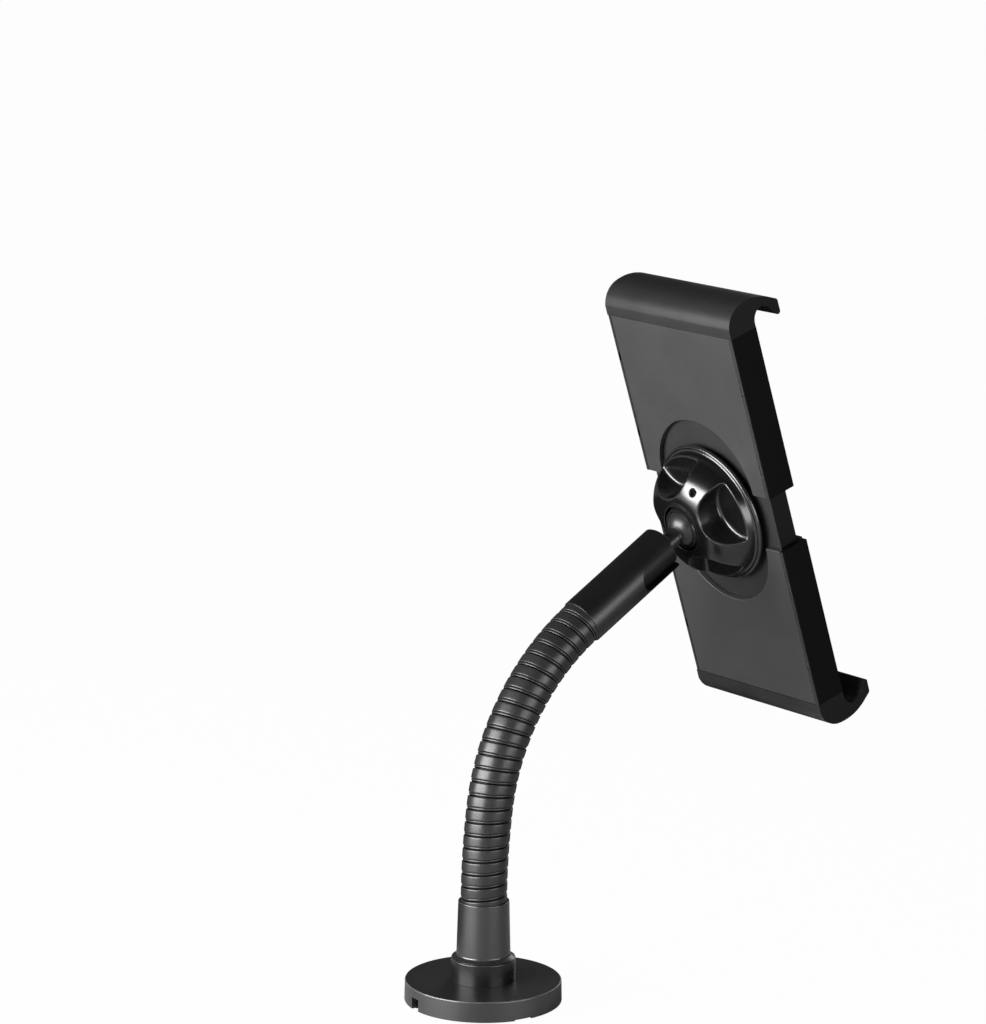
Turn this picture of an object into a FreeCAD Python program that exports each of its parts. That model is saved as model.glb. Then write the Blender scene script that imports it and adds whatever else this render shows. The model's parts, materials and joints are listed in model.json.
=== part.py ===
"""Tablet holder on a flexible neck that is screwed down to a desk or a wall.

Millimetres. The origin is the centre of the base's underside, +Z is up, and the holder's
open side, where a tablet goes, looks towards -Y. The neck bends in the plane X = 0.
"""
import FreeCAD, Part
import math
import os

Vector = FreeCAD.Vector
X_AXIS = Vector(1, 0, 0)
Y_AXIS = Vector(0, 1, 0)
Z_AXIS = Vector(0, 0, 1)

# How far a cutting tool runs past the face it opens, and how closely an edge's place is met
overshoot = 1.0
edge_tolerance = 0.01

# Base: a heavy plate under a turned cover
cover_bottom_r = 32.9
cover_top_r = 32.7
cover_edge_bevel = 0.4
base_height = 9.1
cover_roof = 1.8
cover_wall = 2.0
cover_lift = 0.3
plate_play = 0.3
pad_inner_r = 23.5
pad_width = 6.4
pad_thickness = 1.2
pad_play = 0.1
mount_hole_r = 2.25
mount_circle_r = 18.0
mount_hole_count = 3
mount_hole_azimuth = 90.0
key_notch_width = 5.2
key_notch_height = 5.3
key_notch_depth = 5.0
key_notch_azimuth = 83.4
pry_slot_width = 8.0
pry_slot_height = 1.1
pry_slot_azimuth = 173.4

# Neck foot, its nut and the ring and collar round it
foot_thread_r = 6.0
foot_hole_play = 0.3
nut_thread_play = 0.03
foot_nut_flats = 18.0
foot_nut_height = 2.8
foot_washer_r = 10.5
foot_washer_thickness = 1.0
nut_recess_r = 11.0
nut_recess_depth = 4.4
nut_inset = 0.6
foot_thread_inset = 1.0
hub_r = 13.5
hub_height = 9.4
hub_edge_bevel = 0.4
foot_flange_r = 10.9
foot_flange_height = 3.3
foot_flange_proud = 0.3
flange_play = 0.1
foot_spigot_length = 16.3
collar_foot_r = 13.3
collar_foot_height = 1.4
collar_low_r = 11.3
collar_top_r = 10.65
collar_top_z = 43.1
collar_rim_inner_r = 9.95
collar_rim_depth = 2.0
set_screw_r = 1.45
set_screw_length = 1.1
set_screw_height = 10.0
set_screw_key_flats = 1.5
set_screw_key_depth = 0.7
thread_play = 0.05

# Flexible neck: two tangent bends, hinged into short ribbed links
neck_r = 9.675
neck_bore_r = 5.0
neck_tail_play = 0.045
low_bend_radius = 297.2
low_bend_degrees = 7.55
high_bend_radius = 100.6
high_bend_degrees = 51.15
link_count = 12
ribs_per_link = 2
link_gap = 1.94
rib_strip_r = 9.15
rib_strip_share = 0.30
rib_step_share = 0.06
dome_r = 8.25
dome_play = 0.3
dome_depth = 4.0
dome_root = 0.6
bore_step = 2.5

# Sleeve at the neck's upper end, with the ball stud
sleeve_r = 10.2
sleeve_length = 51.2
sleeve_low_bevel = 0.3
sleeve_top_bevel = 0.8
neck_in_sleeve = 20.0
head_flange_height = 3.0
head_spigot_length = 12.0
sleeve_upper_bore_r = 7.8
head_play = 0.1
head_sink = 0.2
notch_width = 12.8
notch_length = 22.0
notch_azimuth = 190.0
stud_r = 3.65
stud_engagement = 14.0
stud_hole_spare = 1.0
stud_shoulder_r = 4.1
stud_shoulder_length = 0.8
ball_r = 8.5
ball_above_sleeve = 15.4

# Holder frame: x across, y down the holder, z out of its back, tablet's back at z = 0
holder_lean_degrees = 18.16
ball_above_tablet = 30.0

# Core box between the two jaws
core_side_play = 0.6
core_half_length = 64.0
core_front_z = 3.6
core_back_z = 12.6
core_wall = 2.2
core_back_thickness = 2.0
core_corner_r = 3.0
front_plate_thickness = 1.2
front_plate_play = 0.1
core_boss_r = 3.2
core_screw_x = 29.0
core_screw_y = 52.0
screw_shank_r = 1.1
screw_head_r = 2.2
screw_head_height = 1.1
screw_drive_flats = 1.3
screw_drive_depth = 0.65
core_screw_length = 5.0

# Rack and pinion that keeps the two jaws centred
gear_module = 1.0
pinion_teeth = 16
gear_width = 4.4
gear_front_gap = 0.7
pressure_angle_degrees = 20.0
rack_addendum = 0.8
rack_root_depth = 1.15
pinion_addendum = 1.0
pinion_root_depth = 1.25
gear_backlash = 0.16
flank_steps = 5
pinion_pin_r = 1.95
pinion_pin_play = 0.05
pin_seat_depth = 1.2
rack_back_thickness = 4.0
rack_reach = 28.0
rack_teeth_end = 20.0
rack_end_land = 1.0
rack_guide_play = 0.25
rack_guide_thickness = 1.2
rack_guide_half_length = 44.0
rack_foot_inner_x = 2.0
rack_foot_outer_x = 19.0
rack_foot_thickness = 2.0
rack_slot_play = 0.35

# Ball seat, collet and clamping knob on the core's back
ball_play = 0.05
collet_r = 12.0
collet_bore_r = 8.62
collet_flange_r = 20.5
collet_flange_height = 1.8
collet_cone_z = 27.0
collet_lip_r = 8.8
collet_lip_z = 34.2
collet_slit_count = 4
collet_slit_width = 0.8
collet_slit_azimuth = 28.0
collet_slit_start_z = 24.0
collet_screw_circle_r = 17.0
collet_screw_count = 4
collet_screw_azimuth = 45.0
collet_screw_shank = 1.8
seat_r = 8.56
seat_lift = 0.1
seat_rim_z = 27.0
knob_flange_r = 31.0
knob_flange_z = 15.5
knob_flange_step_z = 16.5
knob_flange_top_z = 17.2
knob_rim_inset = 0.7
knob_skirt_r = 28.8
knob_skirt_z = 17.5
knob_dome_mid_r = 24.2
knob_dome_mid_z = 27.6
knob_ring_r = 12.35
knob_ring_z = 33.5
knob_mouth_r = 10.15
knob_mouth_z = 34.0
knob_bore_cone_z = 27.4
knob_thread_play = 0.1
knob_hub_z = 15.0
knob_hub_wall = 2.4
knob_hollow_r = 27.0
knob_hollow_z = 19.3
scallop_count = 4
scallop_azimuth = 16.0
scallop_r = 13.6
scallop_out = 27.2
scallop_floor_z = 21.0
lock_screw_azimuth = 240.0
lock_screw_out = 20.0
lock_screw_r = 1.5
lock_screw_length = 4.5
lock_screw_sink = 1.6

# Jaws
holder_half_width = 40.5
jaw_inner_y = 12.45
jaw_seam_y = 85.5
jaw_wall = 2.6
jaw_wall_front_z = 1.1
jaw_back_z = 15.2
jaw_floor_z = 2.3
jaw_floor_thickness = 1.1
jaw_edge_round = 0.8
cover_thickness = 2.4
jaw_rim_width = 1.8
cover_play = 0.15
cover_ledge = 0.7
cover_ledge_thickness = 0.6
cover_cutout_r = 29.8
snap_width = 3.8
snap_depth = 0.75
snap_play = 0.1
snap_sink = 0.6
snap_left_y = 30.4
snap_right_y = 25.8
snap_spacing = 36.0
snaps_per_side = 2
floor_pad_margin = 1.4
floor_pad_groove_x = 13.0
floor_pad_groove_width = 0.5
floor_pad_groove_depth = 0.4
pad_end_play = 0.2

# Hooked end caps of the jaws
cap_floor_z = 1.2
cap_side_wall = 4.0
cap_hollow_depth = 5.5
cap_hollow_front_z = 3.8
cap_hollow_back_z = 12.6
tongue_length = 6.5
tongue_play = 0.1
tongue_hollow_half_width = 20.0
tongue_floor = 2.0
tongue_roof = 1.5
hook_back_y = 89.6
hook_corner = (95.2, 12.2)
hook_shoulder = (97.8, 7.4)
hook_side = (97.75, -1.8)
hook_low = (95.3, -8.2)
hook_front_outer = (92.9, -12.0)
hook_front_round = (92.3, -12.7)
hook_front = (91.3, -12.95)
hook_tip_front = (87.3, -13.0)
hook_tip = (86.1, -12.5)
hook_tip_inner = (86.0, -11.2)
hook_inner_low = (89.6, -8.8)
hook_inner_mid = (92.4, -5.4)
hook_inner_high = (92.6, -2.2)
hook_inner_round = (91.0, -0.2)
hook_floor_y = 87.0
hook_pad_thickness = 1.2
hook_pad_margin = 6.5
hook_pad_start_y = 88.2
port_half_width = 15.0
port_z = (-7.6, 0.4)
lip_notch_half_width = 7.0
lip_notch_end_y = 89.4
lip_notch_back_z = -8.2
cap_screw_x = 26.0
cap_screw_length = 6.5
rack_screw_x = 15.5
rack_screw_length = 4.6

# Values that follow from the ones above
plate_top_z = base_height - cover_roof
plate_r = cover_bottom_r - cover_wall - plate_play
hub_top_z = base_height + hub_height
flange_top_z = hub_top_z + foot_flange_proud
flange_bottom_z = flange_top_z - foot_flange_height
foot_hole_r = foot_thread_r + foot_hole_play
spigot_r = neck_bore_r - head_play
tail_bore_r = neck_r + neck_tail_play
head_top_z = sleeve_length - head_sink
low_bend_length = low_bend_radius * math.radians(low_bend_degrees)
high_bend_length = high_bend_radius * math.radians(high_bend_degrees)
neck_length = low_bend_length + high_bend_length
socket_r = dome_r + dome_play
pitch_r = gear_module * pinion_teeth / 2
tooth_pitch = math.pi * gear_module
front_plate_back_z = core_front_z + front_plate_thickness
core_back_inner_z = core_back_z - core_back_thickness
gear_z = front_plate_back_z + gear_front_gap
rack_back_x = pitch_r + rack_root_depth + rack_back_thickness
collet_flange_z = core_back_z + collet_flange_height
jaw_inner_half_width = holder_half_width - jaw_wall
core_half_width = jaw_inner_half_width - core_side_play
cover_half_width = holder_half_width - jaw_rim_width
floor_pad_half_width = jaw_inner_half_width - floor_pad_margin
cap_hollow_half_width = holder_half_width - cap_side_wall
hook_pad_half_width = holder_half_width - hook_pad_margin
jaw_cover_z = jaw_back_z - cover_thickness
jaw_floor_back_z = jaw_floor_z + jaw_floor_thickness
tongue_start_y = jaw_seam_y - tongue_length
tongue_hollow_z = jaw_floor_back_z + tongue_floor
screw_row_y = jaw_seam_y - tongue_length / 2


def cylinder(radius, low_z, high_z):
    """Upright round bar on the Z axis."""
    return Part.makeCylinder(radius, high_z - low_z, Vector(0, 0, low_z))


def tube(outer_r, inner_r, low_z, high_z):
    """Upright round tube on the Z axis."""
    return cylinder(outer_r, low_z, high_z).cut(cylinder(inner_r, low_z, high_z))


def block(low_x, high_x, low_y, high_y, low_z, high_z):
    """Box between two corners."""
    corner = Vector(low_x, low_y, low_z)
    return Part.makeBox(high_x - low_x, high_y - low_y, high_z - low_z, corner)


def turned(profile):
    """Solid of revolution about Z from a closed outline of (radius, z) points."""
    points = [Vector(radius, 0, height) for radius, height in profile]
    face = Part.Face(Part.makePolygon(points + points[:1]))
    return face.revolve(Vector(0, 0, 0), Z_AXIS, 360)


def prism_along_y(outline, low_y, high_y):
    """Straight bar along Y with a closed outline of (x, z) points."""
    points = [Vector(x, low_y, z) for x, z in outline]
    face = Part.Face(Part.makePolygon(points + points[:1]))
    return face.extrude(Vector(0, high_y - low_y, 0))


def hexagon(flats, low_z, high_z):
    """Upright hexagonal bar, measured across its flats."""
    corner_r = flats / 2 / math.cos(math.radians(30))
    points = []
    for index in range(7):
        turn = math.radians(60 * index)
        points.append(Vector(corner_r * math.cos(turn), corner_r * math.sin(turn), low_z))
    return Part.Face(Part.makePolygon(points)).extrude(Vector(0, 0, high_z - low_z))


def moved(shape, x, y, z):
    """Copy of a shape, shifted."""
    result = shape.copy()
    result.translate(Vector(x, y, z))
    return result


def turned_about_z(shape, degrees):
    """Copy of a shape, turned about the Z axis."""
    result = shape.copy()
    result.rotate(Vector(0, 0, 0), Z_AXIS, degrees)
    return result


def ring_of(shape, count, first_degrees):
    """Copies of a shape spread evenly about the Z axis."""
    step = 360.0 / count
    return [turned_about_z(shape, first_degrees + step * index) for index in range(count)]


def cut_all(shape, tools):
    """Shape with every tool taken away."""
    result = shape
    for tool in tools:
        result = result.cut(tool)
    return result


def fuse_all(shapes):
    """One solid made of several that meet."""
    result = shapes[0]
    for shape in shapes[1:]:
        result = result.fuse(shape)
    return result.removeSplitter()


def rounded(shape, radius, wanted):
    """Shape with a small round on the edges that the wanted test picks."""
    edges = [edge for edge in shape.Edges if wanted(edge)]
    return shape.makeFillet(radius, edges)


def countersunk_screw(length):
    """Flat-headed screw with its head's face at z = 0 and its shank along +Z."""
    head = Part.makeCone(screw_head_r, screw_shank_r, screw_head_height)
    shank = cylinder(screw_shank_r, screw_head_height, length)
    drive = hexagon(screw_drive_flats, 0, screw_drive_depth)
    return head.fuse(shank).removeSplitter().cut(drive)


def screw_hole(length):
    """Space that a countersunk screw takes up."""
    head = Part.makeCone(screw_head_r + thread_play, screw_shank_r + thread_play, screw_head_height)
    return head.fuse(cylinder(screw_shank_r + thread_play, screw_head_height, length))


# Base


def base_cover():
    """Turned cover over the plate, with a key notch and a pry slot in its rim."""
    inner_r = cover_bottom_r - cover_wall
    shape = turned([
        (foot_hole_r, plate_top_z),
        (inner_r, plate_top_z),
        (inner_r, cover_lift),
        (cover_bottom_r, cover_lift),
        (cover_top_r, base_height - cover_edge_bevel),
        (cover_top_r - cover_edge_bevel, base_height),
        (foot_hole_r, base_height),
    ])
    low_r = inner_r - overshoot
    high_r = cover_bottom_r + overshoot
    notch = block(low_r, high_r, -key_notch_width / 2, key_notch_width / 2, 0, key_notch_height)
    slot = block(low_r, high_r, -pry_slot_width / 2, pry_slot_width / 2, 0, pry_slot_height)
    return cut_all(shape, [turned_about_z(notch, key_notch_azimuth),
                           turned_about_z(slot, pry_slot_azimuth)])


def base_plate():
    """Steel plate with the mounting holes, the nut recess and a groove for the pad."""
    plate = cylinder(plate_r, 0, plate_top_z)
    holes = ring_of(moved(cylinder(mount_hole_r, 0, plate_top_z), mount_circle_r, 0, 0),
                    mount_hole_count, mount_hole_azimuth)
    groove = tube(pad_inner_r + pad_width + pad_play, pad_inner_r - pad_play, 0, pad_thickness)
    recess = cylinder(nut_recess_r, 0, nut_recess_depth)
    bore = cylinder(foot_hole_r, nut_recess_depth, plate_top_z)
    pocket = block(plate_r - key_notch_depth, plate_r + overshoot, -key_notch_width / 2,
                   key_notch_width / 2, 0, key_notch_height)
    return cut_all(plate, holes + [groove, recess, bore, turned_about_z(pocket, key_notch_azimuth)])


def base_pad():
    """Rubber ring that lies flush in the plate's underside."""
    return tube(pad_inner_r + pad_width, pad_inner_r, 0, pad_thickness)


def foot_nut():
    """Thin nut that holds the neck's foot to the plate."""
    low_z = nut_inset
    high_z = low_z + foot_nut_height
    return hexagon(foot_nut_flats, low_z, high_z).cut(
        cylinder(foot_thread_r + nut_thread_play, low_z, high_z))


def foot_washer():
    """Washer between the nut and the plate."""
    high_z = nut_recess_depth
    return tube(foot_washer_r, foot_hole_r, high_z - foot_washer_thickness, high_z)


def hub_ring():
    """Ring that stands on the cover and takes the flange of the neck's foot."""
    return turned([
        (foot_hole_r, base_height),
        (hub_r, base_height),
        (hub_r, hub_top_z - hub_edge_bevel),
        (hub_r - hub_edge_bevel, hub_top_z),
        (foot_flange_r + flange_play, hub_top_z),
        (foot_flange_r + flange_play, flange_bottom_z),
        (foot_hole_r, flange_bottom_z),
    ])


def neck_foot():
    """Turned foot: a threaded stem, a flange and a spigot in the neck's bore."""
    return turned([
        (0, foot_thread_inset),
        (foot_thread_r, foot_thread_inset),
        (foot_thread_r, flange_bottom_z),
        (foot_flange_r, flange_bottom_z),
        (foot_flange_r, flange_top_z),
        (spigot_r, flange_top_z),
        (spigot_r, flange_top_z + foot_spigot_length),
        (0, flange_top_z + foot_spigot_length),
    ])


def set_screw_place(shape):
    """Puts a shape that points along +Z on the collar's far side, pointing inwards."""
    result = shape.copy()
    result.rotate(Vector(0, 0, 0), Y_AXIS, -90)
    result.translate(Vector(tail_bore_r + set_screw_length, 0, flange_top_z + set_screw_height))
    return result


def neck_collar():
    """Tapered collar round the neck's straight lower end."""
    shape = turned([
        (tail_bore_r, flange_top_z),
        (collar_foot_r, flange_top_z),
        (collar_low_r, flange_top_z + collar_foot_height),
        (collar_top_r, collar_top_z),
        (collar_rim_inner_r, collar_top_z),
        (collar_rim_inner_r, collar_top_z - collar_rim_depth),
        (tail_bore_r, collar_top_z - collar_rim_depth),
    ])
    hole = cylinder(set_screw_r + thread_play, -collar_foot_r, set_screw_length + overshoot)
    return shape.cut(set_screw_place(hole))


def collar_set_screw():
    """Headless screw that holds the collar on the neck."""
    screw = cylinder(set_screw_r, 0, set_screw_length)
    key = hexagon(set_screw_key_flats, 0, set_screw_key_depth)
    return set_screw_place(screw.cut(key))


# Flexible neck


def neck_place(along):
    """Frame on the neck's centre line, with X steady, Z along the line; straight past its ends."""
    on_line = min(max(along, 0.0), neck_length)
    low_angle = min(on_line / low_bend_radius, math.radians(low_bend_degrees))
    forward = low_bend_radius * (1 - math.cos(low_angle))
    height = low_bend_radius * math.sin(low_angle)
    angle = low_angle + max(on_line - low_bend_length, 0.0) / high_bend_radius
    forward += high_bend_radius * (math.cos(low_angle) - math.cos(angle))
    height += high_bend_radius * (math.sin(angle) - math.sin(low_angle))
    past = along - on_line
    point = Vector(0, -forward - past * math.sin(angle), collar_top_z + height + past * math.cos(angle))
    return FreeCAD.Placement(point, FreeCAD.Rotation(X_AXIS, math.degrees(angle)))


def placed(shape, placement):
    """Copy of a shape, moved from the origin to a frame."""
    result = shape.copy()
    result.Placement = placement.multiply(shape.Placement)
    return result


def neck_circle(along, radius):
    """Circle round the centre line, its start on the steady X side."""
    return placed(Part.Wire([Part.makeCircle(radius)]), neck_place(along))


def neck_loft(stations):
    """Ruled solid through circles of (distance along the line, radius)."""
    return Part.makeLoft([neck_circle(along, radius) for along, radius in stations], True, True)


def hinge_along(index):
    """Distance along the neck of the hinge above link number index."""
    return neck_length * index / link_count


def link_ribs(start, end):
    """Ribs of one link: each a narrow low strip and a wide band, from four circles."""
    pitch = (end - start) / ribs_per_link
    ribs = []
    for index in range(ribs_per_link):
        low = start + pitch * index
        strip_end = low + pitch * rib_strip_share
        band_start = strip_end + pitch * rib_step_share
        ribs.append(neck_loft([(low, rib_strip_r), (strip_end, rib_strip_r),
                               (band_start, neck_r), (low + pitch, neck_r)]))
    return ribs


def link_bore(start, end):
    """Bore along a link, in short straight steps."""
    steps = max(int(math.ceil((end - start) / bore_step)), 1)
    return neck_loft([(start + (end - start) * index / steps, neck_bore_r)
                      for index in range(steps + 1)])


def gooseneck_link(index):
    """One link: ribs, a dome in the link below and a socket for the dome of the link above."""
    half_gap = link_gap / 2
    first = index == 1
    last = index == link_count
    low_hinge = hinge_along(index - 1)
    high_hinge = hinge_along(index)
    start = 0.0 if first else low_hinge + half_gap
    end = neck_length if last else high_hinge - half_gap
    pieces = link_ribs(start, end)
    bore_start = start
    bore_end = end
    if first:
        bore_start = -(collar_top_z - flange_top_z)
        pieces.append(neck_loft([(bore_start, neck_r), (0.0, neck_r)]))
    else:
        slice_of_ball = cylinder(dome_r + overshoot, -dome_depth, half_gap + dome_root)
        dome = Part.makeSphere(dome_r).common(slice_of_ball)
        pieces.append(placed(dome, neck_place(low_hinge)))
        bore_start = low_hinge - dome_depth
    if last:
        bore_end = neck_length + neck_in_sleeve
        pieces.append(neck_loft([(neck_length, neck_r), (bore_end, neck_r)]))
    body = fuse_all(pieces).cut(link_bore(bore_start - overshoot, bore_end + overshoot))
    if not last:
        body = body.cut(placed(Part.makeSphere(socket_r), neck_place(high_hinge)))
    return body


# Sleeve and ball stud, on the line of the neck's upper end


def on_sleeve(shape):
    """Puts a shape from its own frame, z = 0 at the sleeve's lower end, into place."""
    return placed(shape, neck_place(neck_length))


def neck_sleeve():
    """Sleeve with a stepped bore and a round-ended notch in its upper end, on one side."""
    shoulder_z = neck_in_sleeve + head_flange_height
    shape = turned([
        (tail_bore_r, 0),
        (sleeve_r - sleeve_low_bevel, 0),
        (sleeve_r, sleeve_low_bevel * 2),
        (sleeve_r, sleeve_length - sleeve_top_bevel),
        (sleeve_r - sleeve_top_bevel, sleeve_length),
        (sleeve_upper_bore_r, sleeve_length),
        (sleeve_upper_bore_r, shoulder_z),
        (tail_bore_r, shoulder_z),
    ])
    notch_round_z = sleeve_length - notch_length + notch_width / 2
    notch = block(0, sleeve_r + overshoot, -notch_width / 2, notch_width / 2, notch_round_z,
                  sleeve_length + overshoot)
    round_end = Part.makeCylinder(notch_width / 2, sleeve_r + overshoot, Vector(0, 0, notch_round_z),
                                  X_AXIS)
    tools = [turned_about_z(tool, notch_azimuth) for tool in (notch, round_end)]
    return on_sleeve(cut_all(shape, tools))


def neck_head():
    """Turned head on the neck's upper end: spigot, flange and a long body that fills the sleeve."""
    flange_z = neck_in_sleeve
    shoulder_z = flange_z + head_flange_height
    hole_z = head_top_z - stud_engagement - stud_hole_spare
    return on_sleeve(turned([
        (0, flange_z - head_spigot_length),
        (spigot_r, flange_z - head_spigot_length),
        (spigot_r, flange_z),
        (tail_bore_r - head_play, flange_z),
        (tail_bore_r - head_play, shoulder_z),
        (sleeve_upper_bore_r - head_play, shoulder_z),
        (sleeve_upper_bore_r - head_play, head_top_z),
        (stud_r + thread_play, head_top_z),
        (stud_r + thread_play, hole_z),
        (0, hole_z),
    ]))


def ball_stud():
    """Ball with a thin shoulder and a threaded stem."""
    ball_z = sleeve_length + ball_above_sleeve
    ball_foot = math.sqrt(ball_r ** 2 - stud_shoulder_r ** 2)
    shoulder_z = ball_z - ball_foot - stud_shoulder_length
    stem = cylinder(stud_r, head_top_z - stud_engagement, shoulder_z)
    shoulder = cylinder(stud_shoulder_r, shoulder_z, ball_z - ball_r / 2)
    ball = Part.makeSphere(ball_r, Vector(0, 0, ball_z))
    return on_sleeve(fuse_all([ball, shoulder, stem]))


# Holder, in its own frame: x across, y down, z out of the back, origin on the knob's axis


def holder_place():
    """Frame of the holder, hung from the ball's centre."""
    turn = FreeCAD.Rotation(X_AXIS, -(90 + holder_lean_degrees))
    ball_centre = neck_place(neck_length + sleeve_length + ball_above_sleeve).Base
    offset = turn.multVec(Vector(0, 0, ball_above_tablet))
    return FreeCAD.Placement(ball_centre - offset, turn)


def on_holder(shape):
    """Puts a shape from the holder's frame into place."""
    return placed(shape, holder_place())


def core_screw_places():
    """Places of the four screws that close the core box."""
    return [(x * core_screw_x, y * core_screw_y) for x in (-1, 1) for y in (-1, 1)]


def rack_slot():
    """Slot in the core's end wall that the lower jaw's rack runs through."""
    return block(pitch_r - rack_addendum - rack_slot_play, rack_back_x + rack_slot_play,
                 core_half_length - core_wall - overshoot, core_half_length + overshoot,
                 gear_z - rack_slot_play, gear_z + gear_width + rack_slot_play)


def rack_guide():
    """Rail inside the core that keeps the lower jaw's rack against the pinion."""
    guide_x = rack_back_x + rack_guide_play
    return block(guide_x, guide_x + rack_guide_thickness, -rack_guide_half_length,
                 rack_guide_half_length, front_plate_back_z, core_back_inner_z)


def core_frame():
    """Shallow box that carries the pinion, the collet and both jaws."""
    outer = block(-core_half_width, core_half_width, -core_half_length, core_half_length,
                  core_front_z, core_back_z)
    outer = rounded(outer, core_corner_r, lambda edge: edge.BoundBox.ZLength > edge_tolerance)
    inside_x = core_half_width - core_wall
    inside_y = core_half_length - core_wall
    inner = block(-inside_x, inside_x, -inside_y, inside_y, core_front_z, core_back_inner_z)
    bosses = [moved(cylinder(core_boss_r, front_plate_back_z, core_back_inner_z), x, y, 0)
              for x, y in core_screw_places()]
    guides = ring_of(rack_guide(), 2, 0)
    body = fuse_all([outer.cut(inner)] + bosses + guides)
    holes = [moved(screw_hole(core_screw_length), x, y, core_front_z) for x, y in core_screw_places()]
    pin_seat = cylinder(pinion_pin_r, core_back_inner_z, core_back_inner_z + pin_seat_depth)
    collet_holes = ring_of(moved(cylinder(screw_shank_r, core_back_inner_z, core_back_z),
                                 collet_screw_circle_r, 0, 0), collet_screw_count, collet_screw_azimuth)
    return on_holder(cut_all(body, holes + collet_holes + ring_of(rack_slot(), 2, 0) + [pin_seat]))


def core_front_plate():
    """Plate that closes the core box from the tablet's side."""
    half_x = core_half_width - core_wall - front_plate_play
    half_y = core_half_length - core_wall - front_plate_play
    plate = block(-half_x, half_x, -half_y, half_y, core_front_z, front_plate_back_z)
    holes = [moved(screw_hole(core_screw_length), x, y, core_front_z) for x, y in core_screw_places()]
    return on_holder(cut_all(plate, holes))


def core_screws():
    """Four countersunk screws in the core's front plate."""
    screw = countersunk_screw(core_screw_length)
    return [on_holder(moved(screw, x, y, core_front_z)) for x, y in core_screw_places()]


def involute(radius):
    """Involute angle at a radius of the pinion's flank."""
    base_r = pitch_r * math.cos(math.radians(pressure_angle_degrees))
    slope = math.acos(min(base_r / radius, 1.0))
    return math.tan(slope) - slope


def sync_pinion():
    """Pinion in mesh with both racks, one tooth pointing to +x."""
    base_r = pitch_r * math.cos(math.radians(pressure_angle_degrees))
    root_r = pitch_r - pinion_root_depth
    tip_r = pitch_r + pinion_addendum
    flank = [base_r + (tip_r - base_r) * step / flank_steps for step in range(flank_steps + 1)]
    half_at_pitch = (tooth_pitch / 2 - gear_backlash / 2) / 2 / pitch_r
    outline = []
    for tooth in range(pinion_teeth):
        centre = 2 * math.pi * tooth / pinion_teeth
        half_angles = [half_at_pitch + involute(pitch_r) - involute(radius) for radius in flank]
        side = [(root_r, half_angles[0])] + list(zip(flank, half_angles))
        for radius, half in side:
            outline.append((radius, centre - half))
        for radius, half in reversed(side):
            outline.append((radius, centre + half))
    points = [Vector(radius * math.cos(turn), radius * math.sin(turn), gear_z)
              for radius, turn in outline]
    gear = Part.Face(Part.makePolygon(points + points[:1])).extrude(Vector(0, 0, gear_width))
    bore = cylinder(pinion_pin_r + pinion_pin_play, gear_z, gear_z + gear_width)
    return on_holder(gear.cut(bore))


def pinion_pin():
    """Fixed pin that the pinion turns on."""
    return on_holder(cylinder(pinion_pin_r, front_plate_back_z, core_back_inner_z + pin_seat_depth))


def ball_collet():
    """Slotted collet round the ball, screwed to the core's back."""
    opening_r = math.sqrt((ball_r + ball_play) ** 2 - (collet_lip_z - ball_above_tablet) ** 2)
    shape = turned([
        (opening_r, core_back_z),
        (collet_flange_r, core_back_z),
        (collet_flange_r, collet_flange_z),
        (collet_r, collet_flange_z),
        (collet_r, collet_cone_z),
        (collet_lip_r, collet_lip_z),
        (opening_r, collet_lip_z),
    ])
    ball_space = Part.makeSphere(ball_r + ball_play, Vector(0, 0, ball_above_tablet))
    bore = cylinder(collet_bore_r, core_back_z, ball_above_tablet)
    slit = block(0, collet_r + overshoot, -collet_slit_width / 2, collet_slit_width / 2,
                 collet_slit_start_z, collet_lip_z + overshoot)
    slits = ring_of(slit, collet_slit_count, collet_slit_azimuth)
    holes = ring_of(moved(cylinder(screw_shank_r + thread_play, core_back_z, collet_flange_z),
                          collet_screw_circle_r, 0, 0), collet_screw_count, collet_screw_azimuth)
    return on_holder(cut_all(shape, [ball_space, bore] + slits + holes))


def collet_screws():
    """Pan-headed screws that hold the collet to the core."""
    shank = cylinder(screw_shank_r, collet_flange_z - collet_flange_height - collet_screw_shank,
                     collet_flange_z)
    head = cylinder(screw_head_r, collet_flange_z, collet_flange_z + screw_head_height)
    head = head.cut(hexagon(screw_drive_flats, collet_flange_z + screw_head_height - screw_drive_depth,
                            collet_flange_z + screw_head_height))
    screw = moved(shank.fuse(head).removeSplitter(), collet_screw_circle_r, 0, 0)
    return [on_holder(copy) for copy in ring_of(screw, collet_screw_count, collet_screw_azimuth)]


def ball_seat():
    """Cup under the ball, pressed against it when the knob is tightened."""
    cup = cylinder(seat_r, core_back_z + seat_lift, seat_rim_z)
    return on_holder(cup.cut(Part.makeSphere(ball_r + ball_play, Vector(0, 0, ball_above_tablet))))


def knob_dome():
    """Arc of the knob's dome, from its skirt up to the ring round its mouth."""
    return Part.Arc(Vector(knob_skirt_r, 0, knob_skirt_z),
                    Vector(knob_dome_mid_r, 0, knob_dome_mid_z),
                    Vector(knob_ring_r, 0, knob_ring_z)).toShape()


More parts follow.
